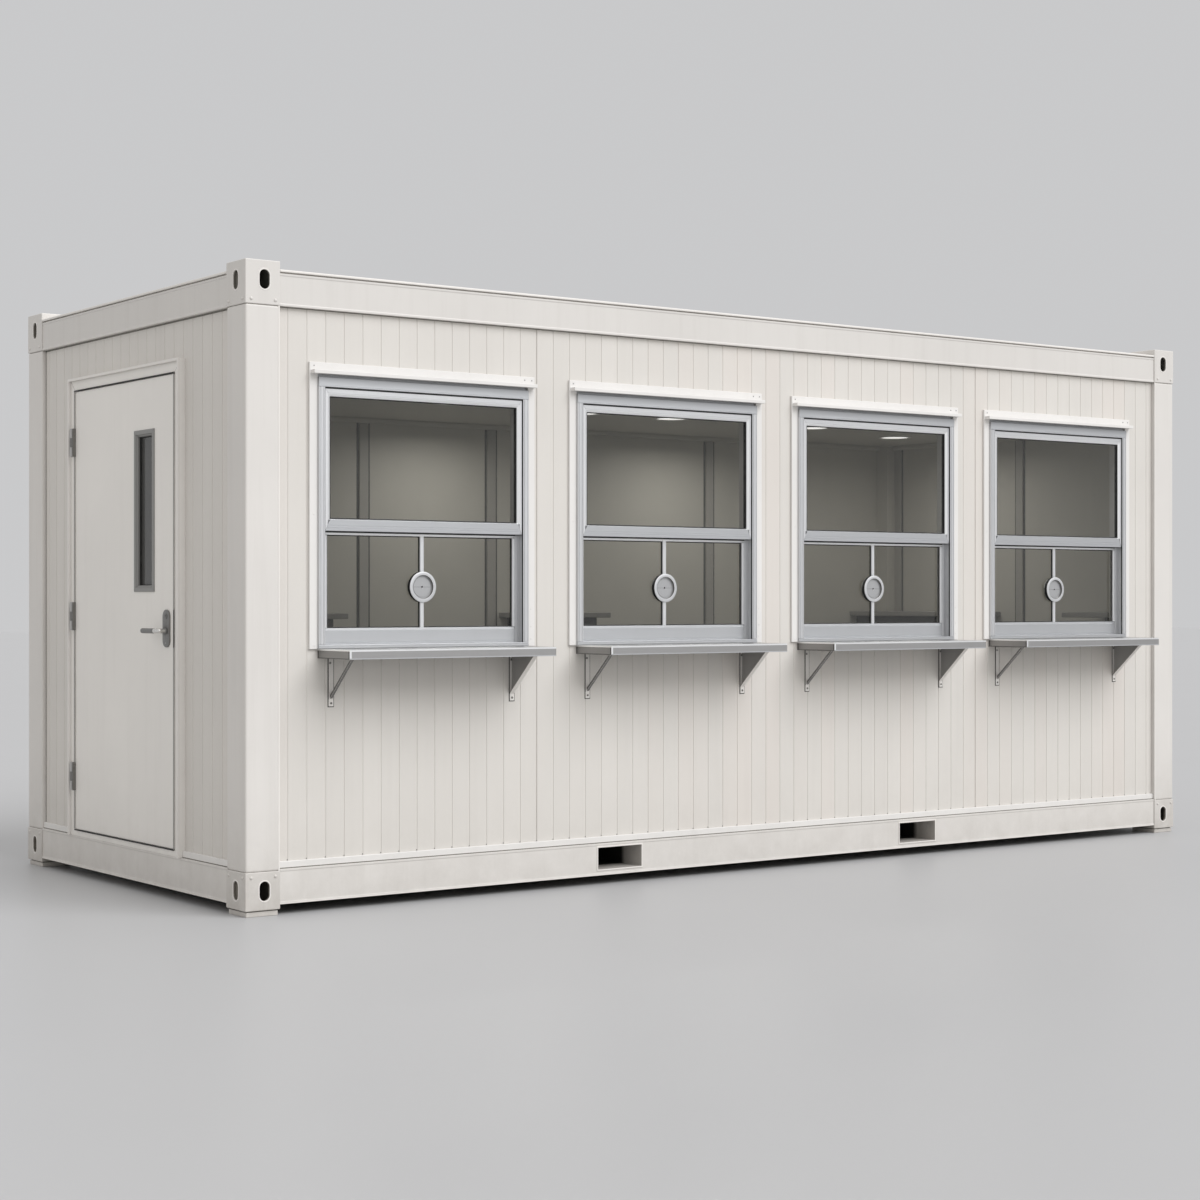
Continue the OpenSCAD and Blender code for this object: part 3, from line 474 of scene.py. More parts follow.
def make_materials():
    c, s = colours(), sizes()
    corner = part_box("lower_castings")[0]
    long_boards = ((1, 0, 0), corner.x + s.front_first, s.front_pitch)
    end_boards = ((0, 1, 0), corner.y + s.end_first, s.end_pitch)
    level, upright = (5.0, 500.0, 500.0), (500.0, 500.0, 5.0)
    head_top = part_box("window_frames")[1].z
    # Painted shadow of the casing's cap: the frame head darkens towards its top
    cap_shadow = (head_top - 0.045, head_top - 0.012, 0.6)
    # Paints: colour, roughness, amount of rain marks and painted corner shade, wear
    for key, name, tint, roughness, dust, wear in (
        ("steel", "Frame paint", c.steel, 0.40, 0.34, 0.5),
        # A lighter copy of the frame paint: painted highlights on rims, folded and rolled edges and tabs
        ("edge", "Edge paint", scaled(c.steel, 1.13, 0.93), 0.36, 0.12, 0.3),
        ("rails", "Rail paint", scaled(c.steel, 1.02), 0.42, 0.26, 0.3),
        ("top_rails", "Top rail paint", scaled(c.steel, 0.96), 0.42, 0.36, 0.3),
        ("castings", "Casting paint", scaled(c.steel, 0.96), 0.44, 0.42, 0.6),
        ("cavity_shade", "Cavity paint", c.cavity_shade, 0.6, 0.6, 0.0),
        ("casing", "Casing paint", c.casing, 0.38, 0.18, 0.4),
        ("door", "Door paint", c.door, 0.40, 0.20, 0.3),
        ("vision", "Vision frame paint", c.vision, 0.38, 0.15, 0.3),
        ("lining", "Room lining", c.lining, 0.55, 0.25, 0.0),
        ("trim", "Room trim paint", c.trim, 0.5, 0.3, 0.0),
    ):
        MATERIALS[key] = paint(name, tint, roughness, dust, wear)
    # Metals: colour, direction of the brushing, roughness, its depth, amount of rain marks and painted
    # corner shade, contrast, metallic, and for the head a painted shadow band
    for key, name, tint, stretch, *values in (
        ("port_ring", "Port ring", scaled(c.aluminium, 0.86), upright, 0.55, 0.02, 0.05, 0.02),
        # The dish is a darker copy of the ring's aluminium: painted shade
        ("port_dish", "Port dish", scaled(c.aluminium, 0.62), upright, 0.6, 0.02, 0.05, 0.02),
        # Aluminium: level bars and jambs get darker copies as painted shade, beads a lighter copy as a
        # painted highlight
        ("alu_level", "Aluminium level", c.rail, level, 0.42, 0.04, 0.10, 0.04),
        ("alu_head", "Aluminium head", scaled(c.rail, 1.06), level, 0.42, 0.04, 0.10, 0.04, 1.0, cap_shadow),
        ("alu_bead", "Aluminium bead", scaled(c.aluminium, 1.12, 0.97), level, 0.42, 0.04, 0.10, 0.03),
        ("alu_jamb", "Aluminium jamb", c.jamb, upright, 0.42, 0.04, 0.10, 0.04),
        ("alu_upright", "Aluminium upright", c.aluminium, upright, 0.42, 0.04, 0.10, 0.04),
        ("stainless", "Stainless sheet", c.stainless, level, 0.32, 0.05, 0.14, 0.06),
        # Darker copies of the stainless: the ends as painted shade, the underside darker still
        ("shelf_end", "Stainless end", scaled(c.stainless, 0.62), upright, 0.34, 0.05, 0.2, 0.06),
        ("dull_sheet", "Stainless underside", scaled(c.stainless, 0.35), level, 0.6, 0.05, 0.3),
        ("bracket", "Bracket steel", scaled(c.stainless, 1.1), upright, 0.42, 0.05, 0.25, 0.08, 0.6),
        # Darker copies of the stainless for the arms' sides: painted shade
        ("strut", "Strut steel", scaled(c.stainless, 0.42), upright, 0.42, 0.05, 0.25, 0.08, 0.6),
        ("plate", "Gusset steel", scaled(c.stainless, 0.88), upright, 0.45, 0.05, 0.25, 0.08, 0.6),
        # A much lighter copy of the handle steel for the lever's neck: a painted highlight
        ("lever", "Lever steel", scaled(c.handle, 3.2), (300.0, 9.0, 300.0), 0.28, 0.06, 0.1),
        ("handle", "Handle steel", c.handle, (9.0, 300.0, 300.0), 0.30, 0.10, 0.1),
        ("screw", "Screw steel", c.stainless, (300.0, 300.0, 300.0), 0.35, 0.1, 0.3),
    ):
        MATERIALS[key] = brushed(name, tint, stretch, *values)
    MATERIALS.update(
        wall_long=paint("Wall paint long", c.wall, 0.46, 0.18, board=long_boards),
        wall_end=paint("Wall paint end", c.wall, 0.46, 0.22, board=end_boards),
        # Painted shade deep in the tunnels, where the paint fades to a near-black copy of the dark inside
        # colour
        tunnel=paint("Tunnel paint", scaled(c.steel, 0.8), 0.5, 0.5, fade=c.cavity_shade),
        underside=paint("Underside coating", c.underside, 0.7, 0.5, spray=0.5),
        sealant=soft_plastic("Joint sealant", c.sealant, 0.55),
        rubber=soft_plastic("Gasket rubber", c.rubber, 0.6),
        flooring=soft_plastic("Sheet flooring", c.flooring, 0.45, 90.0, 0.3),
        worktop=soft_plastic("Worktop laminate", c.worktop, 0.4, 120.0),
        cabinet=soft_plastic("Cabinet laminate", c.cabinet, 0.5, 120.0),
        glass=pane_glass("Window glass", c.glass),
        vision_glass=pane_glass("Vision glass", scaled(c.glass, 0.18), 0.45),
        light=glowing("Light diffuser", (1.0, 0.98, 0.95), 1.1),
    )


# ---- Mesh helpers


def new_object(name, mesh):
    obj = bpy.data.objects.new(name, mesh)
    bpy.context.scene.collection.objects.link(obj)
    return obj


def finish_piece(obj, body, replaces=()):
    """Hands a finished piece to the frame."""
    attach(obj, body)
    for node in replaces:
        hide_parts(node)
    return obj


def smooth_under(mesh, degrees):
    mesh.polygons.foreach_set("use_smooth", [True] * len(mesh.polygons))
    mesh.set_sharp_from_angle(angle=math.radians(degrees))


def from_bmesh(name, bm, materials, smooth=None):
    """A new object from bm, which is freed; smooth is the angle in degrees under which edges look round."""
    bmesh.ops.recalc_face_normals(bm, faces=bm.faces)
    mesh = bpy.data.meshes.new(name)
    bm.to_mesh(mesh)
    bm.free()
    for material in materials:
        mesh.materials.append(MATERIALS[material])
    if smooth is not None:
        smooth_under(mesh, smooth)
    return new_object(name, mesh)


def piece(name, bm, materials, body, replaces=(), smooth=None):
    """A finished piece from bm."""
    return finish_piece(from_bmesh(name, bm, materials, smooth), body, replaces)


def merge_into(bm, part):
    """Adds part to bm and frees it."""
    mesh = bpy.data.meshes.new("part")
    part.to_mesh(mesh)
    part.free()
    bm.from_mesh(mesh)
    bpy.data.meshes.remove(mesh)


def welded(node):
    bm = bmesh.new()
    bm.from_mesh(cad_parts[node].data)
    bmesh.ops.remove_doubles(bm, verts=bm.verts, dist=MERGE)
    return bm


def cad_copy(node):
    """The CAD node's mesh with its loose triangles joined into whole faces."""
    bm = welded(node)
    bmesh.ops.dissolve_limit(bm, angle_limit=math.radians(0.5), verts=bm.verts, edges=bm.edges)
    return bm


def bevel(bm, edges, width, segments):
    if edges:
        bmesh.ops.bevel(
            bm, geom=edges, offset=width, offset_type="OFFSET", segments=segments, profile=0.5,
            affect="EDGES", clamp_overlap=True,
        )


def round_edges(bm, width, segments=2, degrees=30.0):
    limit = math.radians(degrees)
    sharp = [e for e in bm.edges if len(e.link_faces) == 2 and e.calc_face_angle(0.0) > limit]
    bevel(bm, sharp, width, segments)


def softened(node, name, material, body, width, segments=2, smooth=None):
    """A copy of a CAD node with rounded edges, in place of the node."""
    bm = cad_copy(node)
    round_edges(bm, width, segments)
    return piece(name, bm, [material], body, [node], smooth)


def solids(node):
    """(low, high) of each closed solid in a CAD node, from left to right, front to back, bottom to top."""
    bm = welded(node)
    seen, found = set(), []
    for start in bm.verts:
        if start in seen:
            continue
        stack, points = [start], []
        seen.add(start)
        while stack:
            vert = stack.pop()
            points.append(vert.co.copy())
            for edge in vert.link_edges:
                other = edge.other_vert(vert)
                if other not in seen:
                    seen.add(other)
                    stack.append(other)
        low = Vector([min(p[i] for p in points) for i in range(3)])
        high = Vector([max(p[i] for p in points) for i in range(3)])
        found.append((low, high))
    bm.free()
    return sorted(found, key=lambda b: (round(b[0].x, 2), round(b[0].y, 2), round(b[0].z, 2)))


def outer_side(low, high, axis):
    """The side of a box away from the booth's middle along an axis, and its direction, -1 or 1."""
    return (low[axis], -1) if low[axis] < MIDDLE[axis] else (high[axis], 1)


def facing(axis, way):
    """The unit vector along an axis, 0 or 1, in the direction way."""
    return Vector((way, 0, 0)) if axis == 0 else Vector((0, way, 0))


def prism(bm, first, second, material=0):
    """A closed prism between two loops of the same number of points."""
    low = [bm.verts.new(p) for p in first]
    high = [bm.verts.new(p) for p in second]
    count = len(low)
    faces = []
    for i in range(count):
        j = (i + 1) % count
        faces.append(bm.faces.new([low[i], low[j], high[j], high[i]]))
    faces += [bm.faces.new(low[::-1]), bm.faces.new(high)]
    for face in faces:
        face.material_index = material


def plate(bm, corners, z0, z1, material=0):
    """An upright prism over a loop of (x, y) corners."""
    prism(bm, *([Vector((x, y, z)) for x, y in corners] for z in (z0, z1)), material)


def box(bm, first, second, material=0):
    """A box between two opposite corners."""
    (x0, x1), (y0, y1), (z0, z1) = (sorted(pair) for pair in zip(first, second))
    plate(bm, ((x0, y0), (x1, y0), (x1, y1), (x0, y1)), z0, z1, material)


def bar(bm, outer, inner, profile, depth, gap=0.0, material=0):
    """One bar of a frame: outer and inner are its edges' end points, and a profile point (share, deep)
    lies that share of the way from the outer to the inner edge, and deep along depth."""
    ends = []
    along = (outer[1] - outer[0]).normalized()
    for k, pull in ((0, 1), (1, -1)):
        back = along * pull * gap
        ends.append([outer[k].lerp(inner[k], share) + depth * deep + back for share, deep in profile])
    prism(bm, ends[0], ends[1], material)


def ring_corners(low, high, y, grow=0.0):
    """Corners of an upright rectangle, wider by grow all round: bottom left, bottom right, top ones."""
    x0, x1, z0, z1 = low.x - grow, high.x + grow, low.z - grow, high.z + grow
    return [Vector((x, y, z)) for x, z in ((x0, z0), (x1, z0), (x1, z1), (x0, z1))]


def mitred_ring(bm, outer, inner, profiles, depth, gap, materials):
    """Four mitred bars; profiles and materials go bottom, right, top, left."""
    for k in range(4):
        j = (k + 1) % 4
        bar(bm, (outer[k], outer[j]), (inner[k], inner[j]), profiles[k], depth, gap, materials[k])


def plain_ring(bm, outer, inner, profile, depth):
    """Four mitred bars of one profile with no gaps."""
    mitred_ring(bm, outer, inner, [profile] * 4, depth, 0, [0] * 4)


def hoop(bm, loops):
    """A closed hoop through loops of points, the last of which joins the first."""
    rings = [[bm.verts.new(p) for p in loop] for loop in loops]
    count = len(rings[0])
    for a, b in zip(rings, rings[1:] + rings[:1]):
        for k in range(count):
            j = (k + 1) % count
            bm.faces.new([a[k], a[j], b[j], b[k]])


def oval(middle, radius, half, across, steps=10):
    """Points round an upright oval: two half circles whose centres lie half above and below middle."""
    points = []
    for sign, start in ((1, 0.0), (-1, math.pi)):
        for k in range(steps + 1):
            a = start + math.pi * k / steps
            points.append(middle + across * math.cos(a) * radius + UP * (math.sin(a) * radius + sign * half))
    return points


def lathe(bm, profile, centre, axis, side, steps=64, material=0):
    """A turned shape: profile points are (radius, along axis)."""
    axis, side = axis.normalized(), side.normalized()
    up = axis.cross(side)
    turns = [2 * math.pi * k / steps for k in range(steps)]
    rings = []
    for radius, along in profile:
        middle = centre + axis * along
        if radius < 1e-7:
            rings.append([bm.verts.new(middle)])
        else:
            spokes = [side * math.cos(a) + up * math.sin(a) for a in turns]
            rings.append([bm.verts.new(middle + spoke * radius) for spoke in spokes])
    for a, b in zip(rings, rings[1:]):
        for k in range(steps):
            j = (k + 1) % steps
            loop = [a[k % len(a)], a[j % len(a)], b[j % len(b)], b[k % len(b)]]
            loop = list(dict.fromkeys(loop))
            if len(loop) > 2:
                bm.faces.new(loop).material_index = material


# ---- Geometry Nodes trees


def geometry_tree(name, inputs):
    """A Geometry Nodes group with a material input after its other ones."""
    geometry = "NodeSocketGeometry"
    inputs = [("Geometry", geometry, None)] + inputs + [("Material", "NodeSocketMaterial", None)]
    return new_tree(name, "GeometryNodeTree", inputs, [("Geometry", geometry)])


def finish_tree(t, given, out, result):
    """Makes the result real, gives it the material and hands it out."""
    real = t.add("GeometryNodeRealizeInstances", {"Geometry": result})
    done = t.add("GeometryNodeSetMaterial", {"Geometry": real, "Material": given["Material"]})
    t.put(out["Geometry"], done)
    return t.tree


def keep_result(obj):
    """Makes the result of obj's modifiers its own mesh."""
    bpy.context.view_layer.update()
    result = obj.evaluated_get(bpy.context.evaluated_depsgraph_get())
    mesh = bpy.data.meshes.new_from_object(result)
    obj.modifiers.clear()
    obj.data = mesh
    mesh.name = obj.name


def loose_points(name, places):
    mesh = bpy.data.meshes.new(name)
    mesh.from_pydata(places, [], [])
    return new_object(name, mesh)


def run_tree(obj, tree, values):
    """Runs a tree on obj and makes its result obj's own mesh."""
    modifier = obj.modifiers.new(tree.name, "NODES")
    modifier.node_group = tree
    for item in tree.interface.items_tree:
        if item.in_out == "INPUT" and item.name in values:
            modifier[item.identifier] = values[item.name]
    keep_result(obj)


def grooved_wall_tree():
    """A wall panel along +X with upright grooves in its -Y face. The points it is given mark the panel
    joints, and windows are cut at an even pitch; the whole is then turned and placed."""
    tree = bpy.data.node_groups.get("Grooved wall")
    if tree is not None:
        return tree
    inputs = [(n, FLOAT, 1.0) for n in (
        "Length", "Height", "Thickness", "First Groove", "Pitch", "Groove Width", "Groove Depth",
        "Joint Width", "Joint Depth", "Window Width", "Window Height", "Window Foot", "First Window",
        "Window Pitch",
    )]
    inputs += [("Windows", "NodeSocketInt", 0), ("Turn", FLOAT, 0.0), ("Place", VECTOR, (0, 0, 0))]
    t, given, out = geometry_tree("Grooved wall", inputs)
    math_node = t.math
    # Profile: one point at each end, four at each groove and two at the back
    span = math_node("SUBTRACT", given["Length"], given["First Groove"])
    grooves = math_node("ADD", math_node("FLOOR", math_node("DIVIDE", span, given["Pitch"])), 1.0)
    front = math_node("MULTIPLY_ADD", grooves, 4.0, 2.0)
    line = t.add("GeometryNodeMeshLine", {"Count": math_node("ADD", front, 2.0)})
    index = t.add("GeometryNodeInputIndex").outputs[0]
    step = math_node("SUBTRACT", index, 1.0)
    groove = math_node("FLOOR", math_node("DIVIDE", step, 4.0))
    corner = math_node("SUBTRACT", step, math_node("MULTIPLY", groove, 4.0))
    middle = math_node("MULTIPLY_ADD", groove, given["Pitch"], given["First Groove"])
    half = math_node("MULTIPLY", given["Groove Width"], 0.5)
    inner = math_node("COMPARE", corner, 1.5, 0.6)
    reach = math_node("MULTIPLY", half, math_node("SUBTRACT", 1.0, math_node("MULTIPLY", inner, 0.6)))
    side = math_node("SUBTRACT", math_node("MULTIPLY", math_node("GREATER_THAN", corner, 1.5), 2.0), 1.0)
    x_groove = math_node("MULTIPLY_ADD", reach, side, middle)
    is_start = math_node("LESS_THAN", index, 0.5)
    is_end = math_node("COMPARE", index, math_node("SUBTRACT", front, 1.0), 0.4)
    is_back = math_node("GREATER_THAN", index, math_node("SUBTRACT", front, 0.5))
    is_back_end = math_node("COMPARE", index, front, 0.4)
    edge = math_node("MAXIMUM", is_start, math_node("MAXIMUM", is_end, is_back))
    in_groove = math_node("SUBTRACT", 1.0, edge)
    x_edge = math_node("MULTIPLY", math_node("MAXIMUM", is_end, is_back_end), given["Length"])
    x_all = math_node("ADD", math_node("MULTIPLY", x_groove, in_groove), x_edge)
    y_groove = math_node("MULTIPLY", math_node("MULTIPLY", inner, given["Groove Depth"]), in_groove)
    y_all = math_node("ADD", y_groove, math_node("MULTIPLY", is_back, given["Thickness"]))
    placed = t.add("GeometryNodeSetPosition", {"Geometry": line, "Position": t.xyz(X=x_all, Y=y_all)})
    curve = t.add("GeometryNodeMeshToCurve", {"Mesh": placed})
    closed = t.add("GeometryNodeSetSplineCyclic", {"Geometry": curve, "Cyclic": True})
    face = t.add("GeometryNodeFillCurve", {"Curve": closed}, mode="NGONS")
    up = t.xyz(Z=given["Height"])
    risen = t.add("GeometryNodeExtrudeMesh", {"Mesh": face, "Offset": up, "Individual": False})
    whole = t.add("GeometryNodeJoinGeometry")
    t.put(whole.inputs[0], risen)
    t.put(whole.inputs[0], t.add("GeometryNodeFlipFaces", {"Mesh": face}))
    cut = t.add("GeometryNodeMergeByDistance", {"Geometry": whole, "Distance": MERGE})
    # Cutters: windows at an even pitch, and one narrow slot at each joint point
    past = 0.02
    first_window = t.xyz(
        X=given["First Window"],
        Y=math_node("MULTIPLY", given["Thickness"], 0.5),
        Z=math_node("MULTIPLY_ADD", given["Window Height"], 0.5, given["Window Foot"]),
    )
    row = t.add("GeometryNodeMeshLine", {
        "Count": given["Windows"], "Start Location": first_window, "Offset": t.xyz(X=given["Window Pitch"]),
    })
    hole_size = t.xyz(
        X=given["Window Width"], Y=math_node("ADD", given["Thickness"], past), Z=given["Window Height"],
    )
    slot_size = t.xyz(
        X=given["Joint Width"], Y=math_node("MULTIPLY", given["Joint Depth"], 2.0),
        Z=math_node("ADD", given["Height"], past),
    )
    lift = t.xyz(Z=math_node("MULTIPLY", given["Height"], 0.5))
    slot_cube = t.add("GeometryNodeMeshCube", {"Size": slot_size})
    slot_up = t.add("GeometryNodeTransform", {"Geometry": slot_cube, "Translation": lift})
    hole = t.add("GeometryNodeMeshCube", {"Size": hole_size})
    for points, cutter in ((row, hole), (given["Geometry"], slot_up)):
        cutters = t.add("GeometryNodeInstanceOnPoints", {"Points": points, "Instance": cutter})
        solid = t.add("GeometryNodeRealizeInstances", {"Geometry": cutters})
        boolean = t.add("GeometryNodeMeshBoolean", operation="DIFFERENCE", solver="EXACT")
        t.put(boolean.inputs["Mesh 1"], cut)
        t.put(boolean.inputs["Mesh 2"], solid)
        cut = boolean
    moved = t.add("GeometryNodeTransform", {
        "Geometry": cut, "Rotation": t.xyz(Z=given["Turn"]), "Translation": given["Place"],
    })
    return finish_tree(t, given, out, moved)


def heads_tree():
    """One head on each point it is given, with its top along the point's facing."""
    tree = bpy.data.node_groups.get("Heads on points")
    if tree is not None:
        return tree
    inputs = [("Head", "NodeSocketObject", None), ("Radius", FLOAT, 0.004)]
    inputs += [("Turn Seed", "NodeSocketInt", 0)]
    t, given, out = geometry_tree("Heads on points", inputs)
    head = t.add("GeometryNodeObjectInfo", {"Object": given["Head"]})
    outward = t.add("GeometryNodeInputNamedAttribute", {"Name": "facing"}, data_type="FLOAT_VECTOR")
    aim = t.add("FunctionNodeAlignRotationToVector", {"Vector": outward.outputs["Attribute"]}, axis="Z")
    spin = t.add("FunctionNodeRandomValue", {"Seed": given["Turn Seed"], 2: 0.0, 3: 3.14}, data_type="FLOAT")
    about = t.xyz(Z=spin.outputs[1])
    rotation = t.listed("FunctionNodeRotateRotation", (aim, about), rotation_space="LOCAL")
    heads = t.add("GeometryNodeInstanceOnPoints", {
        "Points": given["Geometry"], "Instance": head.outputs["Geometry"], "Rotation": rotation,
        "Scale": t.xyz(**dict.fromkeys("XYZ", given["Radius"])),
    })
    return finish_tree(t, given, out, heads)


# Turned outlines of heads of radius 1, as (radius, along axis) points, and their sides
HEAD_SHAPES = {
    "rivet": ([(1.0, -0.1), (1.0, 0.05), (0.92, 0.28), (0.68, 0.48), (0.36, 0.6), (0, 0.63)], 16),
    "screw": (
        [(1.0, -0.1), (1.0, 0.12), (0.88, 0.34), (0.55, 0.42), (0.42, 0.42), (0.30, 0.1), (0, 0.06)],
        12,
    ),
}
HEADS = {}


def head_shape(kind):
    """A head of radius 1 round the origin, its top along +Z."""
    if kind not in HEADS:
        bm = bmesh.new()
        profile, steps = HEAD_SHAPES[kind]
        lathe(bm, profile, Vector(), UP, RIGHT, steps)
        mesh = bpy.data.meshes.new("head_" + kind)
        bm.to_mesh(mesh)
        bm.free()
        smooth_under(mesh, 40)
        HEADS[kind] = bpy.data.objects.new("head_" + kind, mesh)
    return HEADS[kind]


def heads(name, kind, points, radius, material, body, slot):
    """Screw or rivet heads; points are (place, facing)."""
    obj = loose_points(name, [place for place, _ in points])
    outward = obj.data.attributes.new("facing", "FLOAT_VECTOR", "POINT")
    outward.data.foreach_set("vector", [v for _, out in points for v in out])
    run_tree(obj, heads_tree(), {
        "Head": head_shape(kind), "Radius": radius, "Turn Seed": 5, "Material": MATERIALS[material],
    })
    return finish_piece(obj, body)


# ---- Operators


class PieceOperator:
    """What the piece operators share: their pieces ride on the booth."""

    bl_options = {"REGISTER", "UNDO"}
    slot = ""

    def execute(self, context):
        self.build()
        return {"FINISHED"}

    def piece(self, name, bm, materials, replaces=(), smooth=None):
        return piece(name, bm, materials, "booth", replaces, smooth)

    def softened(self, node, name, material, width, segments=2, smooth=None):
        return softened(node, name, material, "booth", width, segments, smooth)


def on_face(axis, face, at, z):
    """A point on a face that looks along an axis, 0 or 1, at a place along the other one."""
    return Vector((face, at, z) if axis == 0 else (at, face, z))


def foot_line(bm, low, high, axis, proud, tall):
    """A thin strip along the foot of a box's outer side."""
    face, way = outer_side(low, high, axis)
    first, second = low.copy(), high.copy()
    first[axis], second[axis], second.z = face, face + way * proud, low.z + tall
    box(bm, first, second)


def rail_section(depth, height, rebate):
    """Section of a rail: (deep, high) points with its outer face at 0, lips at its top and foot."""
    recess, lip, step = 0.002, 0.009, 0.012
    top = height - rebate
    points = [(0.0, 0.0), (0.0, lip), (recess, lip + recess), (recess, top - lip - recess), (0.0, top - lip)]
    points += [(0.0, top)]
    if rebate:
        points += [(step, top), (step, height)]
    return points + [(depth, height), (depth, 0.0)]


def rails(node, name, axis, material, rebate=0.0, cutters=()):
    """Rails with lips that look along an axis, in place of a node of plain rails."""
    bm = bmesh.new()
    for low, high in solids(node):
        face, outward = outer_side(low, high, axis)
        section = rail_section(high[axis] - low[axis], high.z - low.z, rebate)
        ends = []
        for end in (low, high):
            across = end[1 - axis]
            ends.append([
                on_face(axis, face - outward * deep, across, low.z + tall) for deep, tall in section
            ])
        prism(bm, *ends)
    bmesh.ops.recalc_face_normals(bm, faces=bm.faces)
    round_edges(bm, 0.0012, 1)
    obj = from_bmesh(name, bm, [material])
    if cutters:
        cut = bmesh.new()
        for low, high in cutters:
            box(cut, low, high)
        tool = from_bmesh("tool", cut, [material])
        modifier = obj.modifiers.new("Cut", "BOOLEAN")
        modifier.object = tool
        modifier.solver = "EXACT"
        keep_result(obj)
        bpy.data.objects.remove(tool)
    finish_piece(obj, "booth", [node])


class BOOTH_OT_steel_frame(PieceOperator, bpy.types.Operator):
    """Castings, posts, rails, feet, fork tunnels and roof"""

    bl_idname = "booth.steel_frame"
    bl_label = "Steel Frame"
    slot = "frame_paint"

    def build(self):
        self.castings("lower_castings", "cast_corners_lower")
        self.castings("upper_castings", "cast_corners_upper")
        self.slot_rims()
        self.rail_lines()
        self.softened("corner_posts", "post_columns", "steel", sizes().post_edge, 3)
        self.post_lines()
        tunnels = solids("fork_tunnels")
        past = Vector((0, 0.05, 0))
        holes = [(low - past, high + past) for low, high in tunnels]
        rails("bottom_side_rails", "rails_bottom_long", 1, "rails", cutters=holes)
        rails("bottom_end_rails", "rails_bottom_end", 0, "rails")
        rails("top_side_rails", "rails_top_long", 1, "top_rails", rebate=0.006)
        rails("top_end_rails", "rails_top_end", 0, "top_rails", rebate=0.006)
        self.softened("fork_tunnels", "fork_pockets", "tunnel", 0.0012, 1)
        self.tunnel_rims(tunnels)
        self.roof()
        softened("underfloor_sheet", "underfloor_plate", "underside", "booth", 0.001, 1)
        self.feet()
        self.rivets()

    def castings(self, node, name):
        """Castings with rounded outer edges and a dark inside in painted shade."""
        bm = cad_copy(node)
        boxes = solids(node)

        def depths(point):
            low, high = min(boxes, key=lambda b: ((b[0] + b[1]) / 2 - point).length)
            return sorted(min(point[i] - low[i], high[i] - point[i]) for i in range(3))

        # Faces deeper than 3 mm inside a casting take the dark inside colour: painted shade in its slots and
        # hollow
        for face in bm.faces:
            if depths(face.calc_center_median())[0] > 0.003:
                face.material_index = 1
        outer = [e for e in bm.edges if depths((e.verts[0].co + e.verts[1].co) / 2)[1] < 0.0005]
        bevel(bm, outer, sizes().steel_edge, 3)
        # A plate in the dark inside colour closes the end slot from inside, so no light shows through the
        # corner and the slot looks shaded
        wall, thick = 0.0145, 0.002
        for low, high in boxes:
            x, way = outer_side(low, high, 0)
            near, far = x - way * wall, x - way * (wall + thick)
            box(bm, (near, low.y + wall, low.z + wall), (far, high.y - wall, high.z - wall), 1)
        self.piece(name, bm, ["castings", "cavity_shade"], [node])

    def post_lines(self):
        """Folded edges beside the long walls, where the posts' sheet turns in, in the lighter edge paint: a
        painted highlight.
        """
        bm = bmesh.new()
        wide, proud, deep = 0.007, 0.0006, 0.002
        for low, high in solids("corner_posts"):
            side = outer_side(low, high, 0)[1]
            inner = high.x if side < 0 else low.x
            y, way = outer_side(low, high, 1)
            box(bm, (inner, y + way * proud, low.z), (inner + side * wide, y - way * deep, high.z))
        self.piece("post_lines", bm, ["edge"])

    def slot_rims(self):
        """Raised rims round the castings' oval slots, in the lighter edge paint: a painted highlight."""
        bm = bmesh.new()
        radius, half, offset, level = 0.025, 0.0175, 0.092, 0.083
        section = ((-0.0002, -0.004), (-0.0002, 0.0006), (0.0022, 0.0014))
        section += ((0.0052, 0.0008), (0.0062, -0.001))
        for node in ("lower_castings", "upper_castings"):
            for low, high in solids(node):
                z = low.z + level if node == "lower_castings" else high.z - level
                for axis in (1, 0):
                    face, way = outer_side(low, high, axis)
                    end, end_way = outer_side(low, high, 1 - axis)
                    middle = on_face(axis, face, end - end_way * offset, z)
                    outward, across = facing(axis, way), facing(1 - axis, 1)
                    hoop(bm, [
                        oval(middle + outward * out, radius + grow, half, across) for grow, out in section
                    ])
        self.piece("casting_slot_rims", bm, ["edge"], smooth=40)

    def rail_lines(self):
        """Rolled edges at the foot of the bottom rails, in the lighter edge paint: a painted highlight."""
        bm = bmesh.new()
        for node, axis in (("bottom_side_rails", 1), ("bottom_end_rails", 0)):
            for low, high in solids(node):
                foot_line(bm, low, high, axis, 0.0005, 0.005)
        self.piece("rail_lines", bm, ["edge"])

    def tunnel_rims(self, tunnels):
        """A narrow raised rim round each end of the fork tunnels, in the lighter edge paint: a painted
        highlight.
        """
        bm = bmesh.new()
        wall, wide, proud = 0.0058, 0.0065, 0.0014
        section = ((0, -0.004), (0, proud * 0.6), (0.001, proud), (wide - 0.001, proud), (wide, -0.002))
        for low, high in tunnels:
            for y, way in ((low.y, -1), (high.y, 1)):
                hoop(bm, [ring_corners(low, high, y + way * out, grow - wall) for grow, out in section])
        self.piece("fork_rims", bm, ["edge"])

